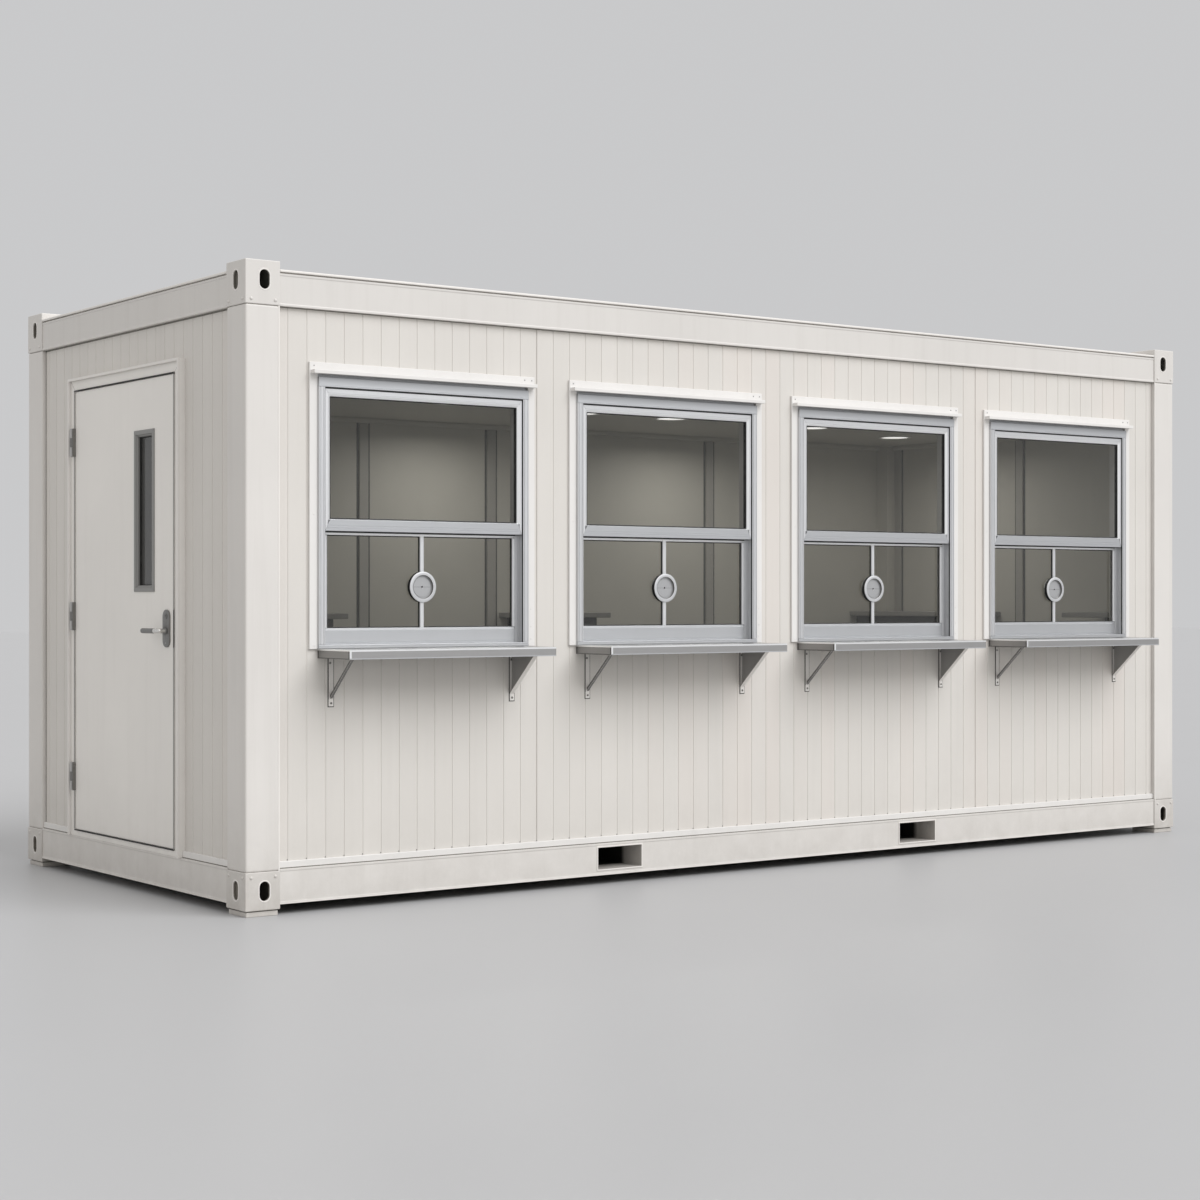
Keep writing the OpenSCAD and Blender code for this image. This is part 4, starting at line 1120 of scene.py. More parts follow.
    def roof(self):
        """One roof sheet, notched at the castings, with a folded edge, all in the lighter edge paint as a
        painted highlight along that edge.
        """
        (a_low, a_high), (b_low, b_high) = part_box("roof"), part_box("roof_ends")
        bm = bmesh.new()
        plate(bm, (
            (a_low.x, a_low.y), (a_high.x, a_low.y), (a_high.x, b_low.y), (b_high.x, b_low.y),
            (b_high.x, b_high.y), (a_high.x, b_high.y), (a_high.x, a_high.y), (a_low.x, a_high.y),
            (a_low.x, b_high.y), (b_low.x, b_high.y), (b_low.x, b_low.y), (a_low.x, b_low.y),
        ), a_low.z, a_high.z)
        bmesh.ops.recalc_face_normals(bm, faces=bm.faces)
        round_edges(bm, 0.003)
        self.piece("roof_sheet", bm, ["edge"], ["roof", "roof_ends"])

    def feet(self):
        """Foot plates with a narrower neck under each casting; the neck is dark, a painted shade."""
        bm = bmesh.new()
        neck, inset, edge = 0.005, Vector((0.006, 0.006, 0)), 0.0025
        for low, high in solids("foot_plates"):
            foot = bmesh.new()
            box(foot, low, (high.x, high.y, high.z - neck))
            bmesh.ops.recalc_face_normals(foot, faces=foot.faces)
            round_edges(foot, edge)
            merge_into(bm, foot)
            box(bm, Vector((low.x, low.y, high.z - 2 * neck)) + inset, high - inset, 1)
        self.piece("foot_pads", bm, ["castings", "sealant"], ["foot_plates"])

    def rivets(self):
        """Two rivets in each outer face of a casting, next to its post."""
        points = []
        for node, level in (("lower_castings", -0.022), ("upper_castings", 0.022)):
            for low, high in solids(node):
                z = (high.z if level < 0 else low.z) + level
                for axis in (1, 0):
                    face, way = outer_side(low, high, axis)
                    for at in (low[1 - axis] + 0.028, high[1 - axis] - 0.024):
                        points.append((on_face(axis, face, at, z), facing(axis, way)))
        heads("casting_rivets", "rivet", points, sizes().rivet_radius, "steel", "booth", self.slot)


def grooved_wall(node, name, turn, joints, first, pitch, windows=()):
    """A grooved panel in place of a wall node; turn is 0 at the front, a quarter for each wall after it."""
    s = sizes()
    low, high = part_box(node)
    size = high - low
    long_wall = turn % 2 == 0
    span, thick = (size.x, size.y) if long_wall else (size.y, size.x)
    corner = ((low.x, low.y), (high.x, low.y), (high.x, high.y), (low.x, high.y))[turn]
    values = {
        "Length": span, "Height": size.z, "Thickness": thick, "First Groove": first, "Pitch": pitch,
        "Groove Width": s.groove_width, "Groove Depth": s.groove_depth,
        "Joint Width": s.joint_width, "Joint Depth": s.joint_depth,
        "Turn": turn * math.pi / 2, "Place": (*corner, low.z), "Windows": len(windows),
        "Material": MATERIALS["wall_long" if long_wall else "wall_end"],
    }
    if windows:
        w_low, w_high = windows[0]
        values.update({
            "Window Width": w_high.x - w_low.x, "Window Height": w_high.z - w_low.z,
            "Window Foot": w_low.z - low.z, "First Window": (w_low.x + w_high.x) / 2 - low.x,
            "Window Pitch": windows[1][0].x - w_low.x,
        })
    obj = loose_points(name, [(x, 0, 0) for x in joints if 0 < x < span])
    run_tree(obj, grooved_wall_tree(), values)
    finish_piece(obj, "booth", [node])


class BOOTH_OT_walls(PieceOperator, bpy.types.Operator):
    """Grooved wall panels with their joints, and the trim at their foot"""

    bl_idname = "booth.walls"
    bl_label = "Walls"
    slot = "wall"

    def build(self):
        s = sizes()
        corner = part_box("lower_castings")[0]
        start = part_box("front_wall")[0].x - corner.x
        joints = [s.front_first + s.front_pitch * k - start for k in FRONT_JOINTS]
        for node, name, turn, windows in (
            ("front_wall", "wall_front_panels", 0, solids("window_frames")),
            ("back_wall", "wall_back_panels", 2, ()),
        ):
            grooved_wall(node, name, turn, joints, s.front_first - start, s.front_pitch, windows)
        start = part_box("right_wall")[0].y - corner.y
        joints = [y - start for y in END_JOINTS]
        grooved_wall("right_wall", "wall_right_panels", 1, joints, s.end_first - start, s.end_pitch)
        for node in ("left_wall_front", "left_wall_rear", "left_wall_over_door"):
            # This wall runs from back to front, so its grooves are counted from its back end
            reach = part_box(node)[1].y - corner.y - s.end_first
            first = reach - math.floor(reach / s.end_pitch) * s.end_pitch
            grooved_wall(node, node + "_panels", 3, [], first, s.end_pitch)
        softened("base_trim", "base_trim_strips", "casing", "booth", 0.003)
        self.sealant()
        self.groove_feet(corner)

    def sealant(self):
        """Dark lines under the top rails, beside the posts and between the base trim and the rails: joints
        whose dark strips also paint the shadows that fall there.
        """
        bm = bmesh.new()
        front, back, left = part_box("front_wall"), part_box("back_wall"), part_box("left_wall_front")
        proud, under, under_end, beside, foot = 0.0006, 0.004, 0.008, 0.005, 0.0045
        trim_top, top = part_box("base_trim")[1].z, front[1].z
        for y, way in ((front[0].y, -1), (back[1].y, 1)):
            box(bm, (front[0].x, y, top - under), (front[1].x, y + way * proud, top))
        y0, y1 = left[0].y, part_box("left_wall_rear")[1].y
        for x, way in ((left[0].x, -1), (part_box("right_wall")[1].x, 1)):
            out = x + way * proud
            box(bm, (x, y0, top - under_end), (out, y1, top))
            box(bm, (x, y0, trim_top), (out, y0 + beside, top))
            box(bm, (x, y1 - beside, trim_top), (out, y1, top))
        for low, high in solids("base_trim"):
            foot_line(bm, low, high, int(high.x - low.x > high.y - low.y), proud, foot)
        self.piece("wall_sealant", bm, ["sealant"])

    def groove_feet(self, corner):
        """Dark dots at the grooves' feet, just over the base trim: painted shade of the grooves' open ends.
        """
        s = sizes()
        points = []
        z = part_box("base_trim")[1].z + 0.004
        for node, way in (("front_wall", -1), ("back_wall", 1)):
            low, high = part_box(node)
            y = (low.y if way < 0 else high.y) - way * 0.0003
            x = corner.x + s.front_first
            while x < high.x - 0.02:
                points.append((Vector((x, y, z)), facing(1, way)))
                x += s.front_pitch
        heads("drain_plugs", "rivet", points, 0.0026, "vision", "booth", self.slot)


class BOOTH_OT_room(PieceOperator, bpy.types.Operator):
    """Floor, ceiling, trims, lights and counters seen through the glass"""

    bl_idname = "booth.room"
    bl_label = "Room"
    slot = "lining"

    def build(self):
        for node, name, material, slot, width, segments in (
            ("floor", "room_floor", "flooring", "flooring", 0.002, 1),
            ("ceiling", "room_ceiling", "lining", "lining", 0.002, 1),
            ("cornice", "room_cornice", "lining", "lining", 0.006, 3),
            ("cover_strips", "room_cover_strips", "trim", "lining", 0.004, 2),
        ):
            softened(node, name, material, "booth", width, segments)
        self.strip_shadows()
        softened("worktops", "room_worktops", "worktop", "booth", 0.004, 2)
        softened("counter_cabinets", "room_cabinets", "cabinet", "booth", 0.003, 2)
        self.lights()
        self.lining()

    def strip_shadows(self):
        """Dark strips in the wall on both sides of each cover strip: painted shadows of the strips."""
        bm = bmesh.new()
        wide, proud = 0.013, 0.0022
        for low, high in solids("cover_strips"):
            axis = int(high.x - low.x > high.y - low.y)
            for edge, way in ((low[1 - axis], -1), (high[1 - axis], 1)):
                first = on_face(axis, high[axis] - proud, edge, low.z)
                box(bm, first, on_face(axis, high[axis], edge + way * wide, high.z))
        self.piece("room_joints", bm, ["cabinet"])

    def lights(self):
        """Round lights with a white rim and a glowing middle."""
        rim, glow = bmesh.new(), bmesh.new()
        for low, high in solids("ceiling_lights"):
            centre = Vector(((low.x + high.x) / 2, (low.y + high.y) / 2, high.z))
            radius, deep = (high.x - low.x) / 2, high.z - low.z
            inner = radius - 0.02
            outline = [(inner, 0), (radius, 0), (radius, deep * 0.4), (radius - 0.004, deep)]
            outline += [(radius - 0.018, deep), (inner, deep * 0.6), (inner, 0)]
            lathe(rim, outline, centre, -UP, RIGHT)
            edge = inner - 0.0005
            dome = [(0, 0), (edge, 0), (edge, deep * 0.55), (radius * 0.5, deep * 0.85), (0, deep * 0.9)]
            lathe(glow, dome, centre, -UP, RIGHT)
        piece("light_rims", rim, ["casing"], "booth", ["ceiling_lights"], 35)
        piece("light_diffusers", glow, ["light"], "booth", smooth=35)

    def lining(self):
        """Smooth sheet on the room's side of the walls and posts, open at the windows and the door."""
        thick = 0.0015
        bm = bmesh.new()
        floor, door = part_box("floor"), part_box("door_frame")
        z0, z1 = floor[1].z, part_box("ceiling")[0].z
        x0, x1, y0, y1 = floor[0].x, floor[1].x, floor[0].y, floor[1].y
        posts, openings = solids("corner_posts"), solids("window_frames")
        left_x, front_y = posts[0][1].x, posts[0][1].y
        right_x, back_y = posts[-1][0].x, posts[-1][0].y
        sheets = [(left_x, y1 - thick, right_x, y1), (x1 - thick, front_y, x1, back_y)]
        sheets += [(x0, front_y, x0 + thick, door[0].y), (x0, door[1].y, x0 + thick, back_y)]
        edges = [left_x] + [v for low, high in openings for v in (low.x, high.x)] + [right_x]
        sheets += [(a, y0, b, y0 + thick) for a, b in zip(edges[::2], edges[1::2])]
        for low, high in posts:
            x_way, y_way = outer_side(low, high, 0)[1], outer_side(low, high, 1)[1]
            post_x, wall_x = (high.x, x0) if x_way < 0 else (low.x, x1)
            post_y, wall_y = (high.y, y0) if y_way < 0 else (low.y, y1)
            in_x, in_y = post_x - x_way * thick, post_y - y_way * thick
            sheets += [(post_x, wall_y, in_x, in_y), (wall_x, post_y, post_x, in_y)]
        for a, b, c, d in sheets:
            box(bm, (a, b, z0), (c, d, z1))
        for low, high in openings:
            box(bm, (low.x, y0, z0), (high.x, y0 + thick, low.z))
            box(bm, (low.x, y0, high.z), (high.x, y0 + thick, z1))
        self.piece("room_lining", bm, ["lining"])


def shares(points, width):
    """Section points with their first measure as a share of width."""
    return [(across / width, deep) for across, deep in points]


def level_bar(bm, low, high, outer_z, inner_z, face, material):
    """A bar from side to side; face is its section in metres from its outer edge to its inner one."""
    ends = [(Vector((low.x, low.y, z)), Vector((high.x, low.y, z))) for z in (outer_z, inner_z)]
    bar(bm, *ends, shares(face, face[-1][0]), INWARD, 0, material)


def upright_bars(bm, low, high, wide, z0, z1, face, material):
    """Two upright bars along both sides; face is their section from their outer edge to their inner one."""
    for x, way in ((low.x, 1), (high.x, -1)):
        ends = [(Vector((at, low.y, z0)), Vector((at, low.y, z1))) for at in (x, x + way * wide)]
        bar(bm, *ends, shares(face, wide), INWARD, 0, material)


def seal(bm, pane, y, deep, back=None):
    """A black strip round a pane, in front of the glass, and one behind it as far as back."""
    low, high = pane
    profile = [(0, deep), (0, 0), (0.7, 0.0008), (1, 0.003), (1, deep)]
    plain_ring(bm, ring_corners(low, high, y), ring_corners(low, high, y, -sizes().gasket), profile, INWARD)
    if back is not None:
        depth = back - high.y
        profile = [(0, depth), (0, 0), (1, 0), (1, depth)]
        outer, inner = ring_corners(low, high, high.y), ring_corners(low, high, high.y, -0.002)
        plain_ring(bm, outer, inner, profile, INWARD)


class BOOTH_OT_windows(PieceOperator, bpy.types.Operator):
    """Casings, aluminium frames, sashes, panes and gaskets of the serving windows"""

    bl_idname = "booth.windows"
    bl_label = "Windows"
    slot = "aluminium"

    def build(self):
        softened("window_casings", "window_casing_trims", "casing", "booth", sizes().sheet_edge)
        self.frames()
        self.upper_sashes()
        self.lower_sashes()
        softened("upper_glass", "upper_panes", "glass", "booth", 0.0008, 1)
        softened("lower_glass", "lower_panes", "glass", "booth", 0.0006, 1)
        self.casing_screws()

    def frames(self):
        """Frames whose head and sill run through between the jambs, with their brush seals."""
        bm, seals = bmesh.new(), bmesh.new()
        gap = sizes().mitre_gap
        nodes = ("window_frames", "upper_sashes", "lower_sashes", "window_casings")
        for (low, high), upper, lower, casing in zip(*(solids(node) for node in nodes)):
            side = upper[0].x - 0.002 - low.x
            inner_side = lower[0].x - 0.001 - low.x
            foot = lower[0].z - low.z
            head = high.z - (upper[1].z + 0.006)
            front, back, y = upper[1].y - low.y, high.y - low.y, low.y
            under_head = high.z - head
            face = [(0, back), (0, 0.020), (0.0125, 0.020), (0.0125, 0.0012), (0.0137, 0)]
            face += [(head - 0.008, 0), (head - 0.0072, 0.0012), (head - 0.0062, 0.0012), (head - 0.0054, 0)]
            face += [(head - 0.0015, 0), (head, 0.0015), (head, back)]
            # The head's finish darkens towards its top: a painted shadow of the casing's cap
            level_bar(bm, low, high, high.z, under_head, face, 2)
            face = [(0, back), (0, 0.003), (0.003, 0), (foot - 0.009, 0), (foot - 0.0085, 0.003)]
            face += [(foot - 0.0045, 0.003), (foot - 0.004, 0.0005), (foot - 0.001, 0.001), (foot, 0.006)]
            face += [(foot, back)]
            level_bar(bm, low, high, low.z, low.z + foot, face, 0)
            # Section of a jamb: two grooves in its face, then the steps behind the sashes
            face = [(0, 0.0015), (0.0015, 0)]
            for at, wide in ((0.003, 0.007), (side - 0.009, 0.003)):
                face += [(at, 0), (at + wide * 0.25, 0.003), (at + wide * 0.75, 0.003), (at + wide, 0)]
            face += [(side - 0.0015, 0), (side, 0.0015), (side, front), (side + 0.004, front)]
            face += [(side + 0.004, front + 0.004), (side + 0.008, front + 0.004), (side + 0.008, front)]
            face += [(inner_side - 0.005, front), (inner_side - 0.005, front + 0.003)]
            face += [(inner_side - 0.0015, front + 0.003), (inner_side, front + 0.005)]
            face += [(inner_side, back), (0, back)]
            upright_bars(bm, low, high, inner_side, low.z + foot + gap, under_head - gap, face, 1)
            # Brush seals beside, over and under the upper sash, and dark tracks beside the lower one
            meeting, behind = upper[0].z, upper[1].y
            for x, way in ((low.x + side, 1), (high.x - side, -1)):
                lip = x + way * 0.0018
                box(seals, (x - way * 0.0003, y + 0.003, meeting), (lip, behind - 0.001, under_head))
                lip = x + way * 0.001
                box(seals, (x - way * 0.0002, y + 0.003, low.z + foot), (lip, y + 0.010, meeting))
            x0, x1 = upper[0].x, upper[1].x
            box(seals, (x0, y + 0.0045, upper[1].z + 0.0004), (x1, behind, under_head + 0.0004))
            box(seals, (x0, behind - 0.010, meeting - 0.0028), (x1, behind + 0.003, meeting + 0.0005))
            x0, x1, y_low, z_top = lower[0].x, lower[1].x, lower[0].y, lower[1].z
            box(seals, (x0, y_low - 0.001, z_top - 0.0035), (x1, y_low + 0.002, z_top))
            y_face = casing[1].y - CASING_PROUD
            # A dark strip in the gap on the frame's right side only: painted shade of that gap
            box(seals, (high.x, y_face - 0.0006, low.z), (high.x + 0.0012, y_face + 0.0004, high.z))
        self.piece("window_seals", seals, ["rubber"])
        # The sill and jambs take darker copies of the aluminium as painted shade
        self.piece("window_frame_bars", bm, ["alu_level", "alu_jamb", "alu_head"], ["window_frames"])

    def upper_sashes(self):
        """Mitred sashes, each with a bevelled bead round its pane. Lighter and darker copies of one
        aluminium paint light and shade on them: the beads of the sides and top take a painted highlight, the
        bottom rail, its bead and the top rail painted shade.
        """
        bm, seals = bmesh.new(), bmesh.new()
        wide, thin = 0.014, 0.004
        bead = [(0, 0.009), (0, 0.0012), (0.06, 0.0004), (0.25, 0.0008)]
        bead += [(0.86, 0.0048), (1, 0.0065), (1, 0.009)]
        for (low, high), (pane_low, pane_high) in zip(solids("upper_sashes"), solids("upper_glass")):
            outer, inner = ring_corners(low, high, low.y), ring_corners(pane_low, pane_high, low.y)
            back = high.y - low.y
            profiles = []
            for width, held, ribs in (
                (pane_low.z - low.z, thin, (0.012, 0.022)),
                (high.x - pane_high.x, wide, ()),
                (high.z - pane_high.z, wide, ()),
                (pane_low.x - low.x, wide, ()),
            ):
                points = [(0, back), (0, 0.0012), (0.0012, 0)]
                for at in ribs:
                    points += [(at, 0), (at + 0.0008, 0.0010), (at + 0.0020, 0.0010), (at + 0.0028, 0)]
                points += [(width - held, 0), (width - held, 0.009), (width, 0.009), (width, back)]
                profiles.append(shares(points, width))
            mitred_ring(bm, outer, inner, profiles, INWARD, sizes().mitre_gap, [0, 1, 2, 1])
            bead_low, bead_high = pane_low - Vector((wide, 0, thin)), pane_high + Vector((wide, 0, wide))
            outer = ring_corners(bead_low, bead_high, low.y)
            mitred_ring(bm, outer, inner, [bead] * 4, INWARD, 0, [0, 3, 3, 3])
            seal(seals, (pane_low, pane_high), low.y + 0.0062, pane_low.y - low.y - 0.0062, high.y)
        looks = ["alu_level", "alu_upright", "alu_jamb", "alu_bead"]
        self.piece("upper_sash_bars", bm, looks, ["upper_sashes"])
        self.piece("upper_glass_seals", seals, ["rubber"])

    def lower_sashes(self):
        """Sashes whose rails run through, with a glazing bar that the voice port breaks. The head takes the
        bright bead finish, a painted highlight, and the bottom rail the darker level finish, painted shade.
        """
        bm, seals = bmesh.new(), bmesh.new()
        gap = sizes().mitre_gap
        panes = solids("lower_glass")
        for (low, high), left, right, port in zip(
            solids("lower_sashes"), panes[::2], panes[1::2], solids("voice_ports")
        ):
            back = high.y - low.y
            z_glass, z_head = left[0].z, left[1].z
            stile, head, rail = left[0].x - low.x, high.z - z_head, z_glass - low.z
            face = [(0, back), (0, 0.001), (0.001, 0), (head * 0.6, 0), (head, 0.004), (head, back)]
            level_bar(bm, low, high, high.z, z_head, face, 2)
            face = [(0, back), (0, 0.0015), (0.001, 0), (0.006, 0), (0.007, 0.0018), (0.0085, 0.0018)]
            face += [(0.0095, 0), (rail - 0.012, 0), (rail - 0.009, 0.003), (rail - 0.001, 0.004)]
            face += [(rail, 0.006), (rail, back)]
            level_bar(bm, low, high, low.z, z_glass, face, 0)
            face = [(0, back), (0, 0.001), (0.001, 0), (stile * 0.6, 0), (stile, 0.004), (stile, back)]
            upright_bars(bm, low, high, stile, z_glass + gap, z_head - gap, face, 1)
            x0, x1, front, edge = left[1].x, right[0].x, low.y + 0.005, 0.0025
            section = [(x0, high.y), (x0, front + edge), (x0 + edge, front)]
            section += [(x1 - edge, front), (x1, front + edge), (x1, high.y)]
            for z0, z1 in ((z_glass, port[0].z + 0.002), (port[1].z - 0.002, z_head)):
                plate(bm, section, z0, z1, 1)
            for pane in (left, right):
                seal(seals, pane, pane[0].y - 0.004, 0.004)
        self.piece("lower_sash_bars", bm, ["alu_level", "alu_upright", "alu_bead"], ["lower_sashes"])
        self.piece("lower_glass_seals", seals, ["rubber"])

    def casing_screws(self):
        """Small screws in the casings' caps and, painted over, down their sides."""
        points, painted = [], []
        for low, high in solids("window_casings"):
            face_y = high.y - CASING_PROUD
            left, right, top = low.x + 0.022, high.x - 0.020, high.z - 0.016
            sides = [(left, low.z + z) for z in (0.016, 0.590)]
            sides += [(right, low.z + z) for z in (0.034, 0.091, 0.173)]
            caps = [(left, top), (right + 0.004, top), (right - 0.036, top)]
            for found, places in ((painted, sides), (points, caps)):
                found += [(Vector((x, face_y, z)), -INWARD) for x, z in places]
        radius = sizes().screw_radius
        heads("casing_screws", "screw", points, radius, "screw", "booth", "casing")
        heads("casing_painted_screws", "screw", painted, radius, "casing", "booth", "casing")


class BOOTH_OT_voice_ports(PieceOperator, bpy.types.Operator):
    """Round voice ports with a stepped rim and a dished middle"""

    bl_idname = "booth.voice_ports"
    bl_label = "Voice Ports"
    slot = "aluminium"

    def build(self):
        bm = bmesh.new()
        dish, floor, hole = 0.054, 0.0105, 0.0040
        for (low, high), pane in zip(solids("voice_ports"), solids("lower_glass")[::2]):
            centre = Vector(((low.x + high.x) / 2, low.y, (low.z + high.z) / 2))
            radius, back, rear = (high.x - low.x) / 2, pane[0].y - low.y, high.y - low.y
            outline = [
                (0, floor + 0.006), (hole, floor + 0.006), (hole, floor), (0.0062, floor - 0.0007),
                (0.0070, floor), (0.0090, floor), (0.0440, floor), (0.0455, floor), (0.0460, floor + 0.002),
                (0.0490, floor + 0.002), (0.0495, floor), (dish - 0.001, floor), (dish, floor - 0.001),
                (dish, 0.0014), (dish + 0.0012, 0.0), (0.0590, 0.0), (0.0596, 0.0010), (0.0602, 0.0),
                (radius - 0.0034, 0.0), (radius - 0.0011, 0.0008), (radius, 0.0030), (radius, back - 0.0015),
                (radius - 0.0015, back), (0.050, back), (0.050, back + 0.006), (0.065, back + 0.006),
                (0.065, rear - 0.0015), (0.0635, rear), (0, rear),
            ]
            before = len(bm.faces)
            lathe(bm, outline, centre, INWARD, RIGHT, 72)
            bm.faces.ensure_lookup_table()
            for face in bm.faces[before:]:
                place = face.calc_center_median() - centre
                face.material_index = self.part(place, radius, dish, floor, hole)
            # Fine scored line across the dish
            y = centre.y + floor - 0.0002
            for sign in (-1, 1):
                first = (centre.x + sign * 0.006, y, centre.z - 0.0004)
                box(bm, first, (centre.x + sign * 0.0445, y + 0.0008, centre.z + 0.0004), 1)
        looks = ["port_ring", "rubber", "port_dish", "handle"]
        self.piece("voice_port_discs", bm, looks, ["voice_ports"], 35)

    @staticmethod
    def part(place, radius, dish, floor, hole):
        """A face's material: 0 the rim, 1 the black barrel and hole, 2 the dish, 3 the recess wall. The
        black barrel side and hole, the darker dish and the dark steel of the recess wall are painted shade.
        """
        reach, deep = math.hypot(place.x, place.z), place.y
        if reach > radius - 0.0007 and deep > 0.003:
            return 1
        if reach < hole + 0.0001 and floor < deep < 0.02:
            return 1
        if abs(reach - dish) < 0.0008 and 0.002 < deep < floor:
            return 3
        return 2 if reach < dish and deep < 0.02 else 0


class BOOTH_OT_shelves(PieceOperator, bpy.types.Operator):
    """Folded stainless shelves on strut and gusset brackets"""

    bl_idname = "booth.shelves"
    bl_label = "Shelves"
    slot = "stainless"

    def build(self):
        self.shelves()
        self.hems()
        self.brackets("strut_brackets", "shelf_struts", 2)
        self.brackets("gusset_brackets", "shelf_gussets", 3)
        self.bracket_details()

    def shelves(self):
        """Trays folded from sheet: a top, an apron at the front and the ends, and a return under them. The
        ends take a darker copy of the stainless and the underside a much darker one: painted shade.
        """
        bm = bmesh.new()
        sheet, edge, lip, margin = 0.0016, 0.0028, 0.018, 0.001
        for low, high in solids("counter_shelves"):
            tray = bmesh.new()
            box(tray, low, high)
            bmesh.ops.recalc_face_normals(tray, faces=tray.faces)
            # Hollow the underside between the returns
            under = [f for f in tray.faces if f.normal.z < -0.5]
            bmesh.ops.inset_region(tray, faces=under, thickness=lip, depth=0.0)
            for face in under:
                bmesh.ops.translate(tray, verts=face.verts, vec=(0, 0, sheet))
            round_edges(tray, edge, 3, 50)
            for face in tray.faces:
                middle = face.calc_center_median()
                inside = all(low[i] + margin < middle[i] < high[i] - margin for i in range(3))
                # Underside and inside take the much darker stainless, the ends a darker one: painted shade
                if face.normal.z < -0.5 or (inside and middle.z < high.z - sheet):
                    face.material_index = 2
                elif abs(face.normal.x) > 0.8:
                    face.material_index = 1
            merge_into(bm, tray)
        self.piece("shelf_trays", bm, ["stainless", "shelf_end", "dull_sheet"], ["counter_shelves"])

    def hems(self):
        """Folded edges round the trays' aprons in a bright finish, a painted highlight, with a dark line
        beside each front corner.
        """
        bm = bmesh.new()
        proud, deep = 0.0004, 0.001
        for low, high in solids("counter_shelves"):
            front, inner = low.y - proud, low.y + deep
            for x0, x1, z0, z1, material in (
                (low.x - proud, high.x + proud, high.z - 0.007, high.z + proud, 0),
                (low.x - proud, high.x + proud, low.z - proud, low.z + 0.004, 1),
                (low.x - proud, low.x + 0.009, low.z + 0.004, high.z - 0.007, 0),
            ):
                box(bm, (x0, front, z0), (x1, inner, z1), material)
            for x, way in ((low.x, -1), (high.x, 1)):
                for y0, y1, z0, z1, material in (
                    (inner, high.y, high.z - 0.006, high.z + proud, 0),
                    (inner, high.y, low.z - proud, low.z + 0.003, 2),
                    (inner, low.y + 0.010, low.z + 0.003, high.z - 0.006, 2),
                    (high.y - 0.010, high.y, low.z + 0.003, high.z - 0.006, 2),
                ):
                    box(bm, (x + way * proud, y0, z0), (x - way * deep, y1, z1), material)
        self.piece("shelf_hems", bm, ["alu_bead", "alu_level", "dull_sheet"])

    def brackets(self, node, name, arm):
        """Brackets with painted wall legs, a tab at their foot in the lighter edge paint as a painted
        highlight, and steel arms: their sides in darker copies of the stainless as painted shade, the
        gussets' flanges in the edge paint as a painted highlight.
        """
        bm = cad_copy(node)
        low, high = solids(node)[0]
        tab, flange = low.z + 0.030, 0.0042
        geometry = bm.verts[:] + bm.edges[:] + bm.faces[:]
        bmesh.ops.bisect_plane(bm, geom=geometry, dist=MERGE, plane_co=(0, 0, tab), plane_no=(0, 0, 1))
        for face in bm.faces:
            middle = face.calc_center_median()
            if middle.y > high.y - flange:
                face.material_index = 1 if middle.z < tab else 0
            elif middle.z > high.z - flange:
                face.material_index = 2
            elif abs(face.normal.x) > 0.8:
                face.material_index = arm
            else:
                face.material_index = 2 if arm == 2 else 1
        round_edges(bm, 0.0008, 1)
        self.piece(name, bm, ["rails", "edge", "strut", "plate"], [node])

    def bracket_details(self):
        """Dark beads round the brackets' wall legs, a sealing bead that also paints the shade round them,
        and two screws in each leg.
        """
        bm = bmesh.new()
        bead, thick = 0.0035, 0.0012
        points = []
        for low, high in solids("strut_brackets") + solids("gusset_brackets"):
            y0, foot = high.y - thick, low.z - bead
            box(bm, (low.x - bead, y0, foot), (low.x, high.y, high.z - 0.002))
            box(bm, (high.x, y0, foot), (high.x + bead, high.y, high.z - 0.002))
            box(bm, (low.x, y0, foot), (high.x, high.y, low.z))
            x, y = (low.x + high.x) / 2, high.y - 0.004
            points.append((Vector((x, y, low.z + 0.014)), -INWARD))
            points.append((Vector((x - 0.005, y, high.z - 0.022)), -INWARD))
        self.piece("bracket_seals", bm, ["rubber"])
        heads("bracket_screws", "screw", points, 0.0055, "handle", "booth", self.slot)


def side_corners(low, high, x, grow=0.0):
    """Corners of an upright rectangle that looks along X, wider by grow on all sides."""
    y0, y1, z0, z1 = low.y - grow, high.y + grow, low.z - grow, high.z + grow
    return [Vector((x, y, z)) for y, z in ((y0, z0), (y1, z0), (y1, z1), (y0, z1))]


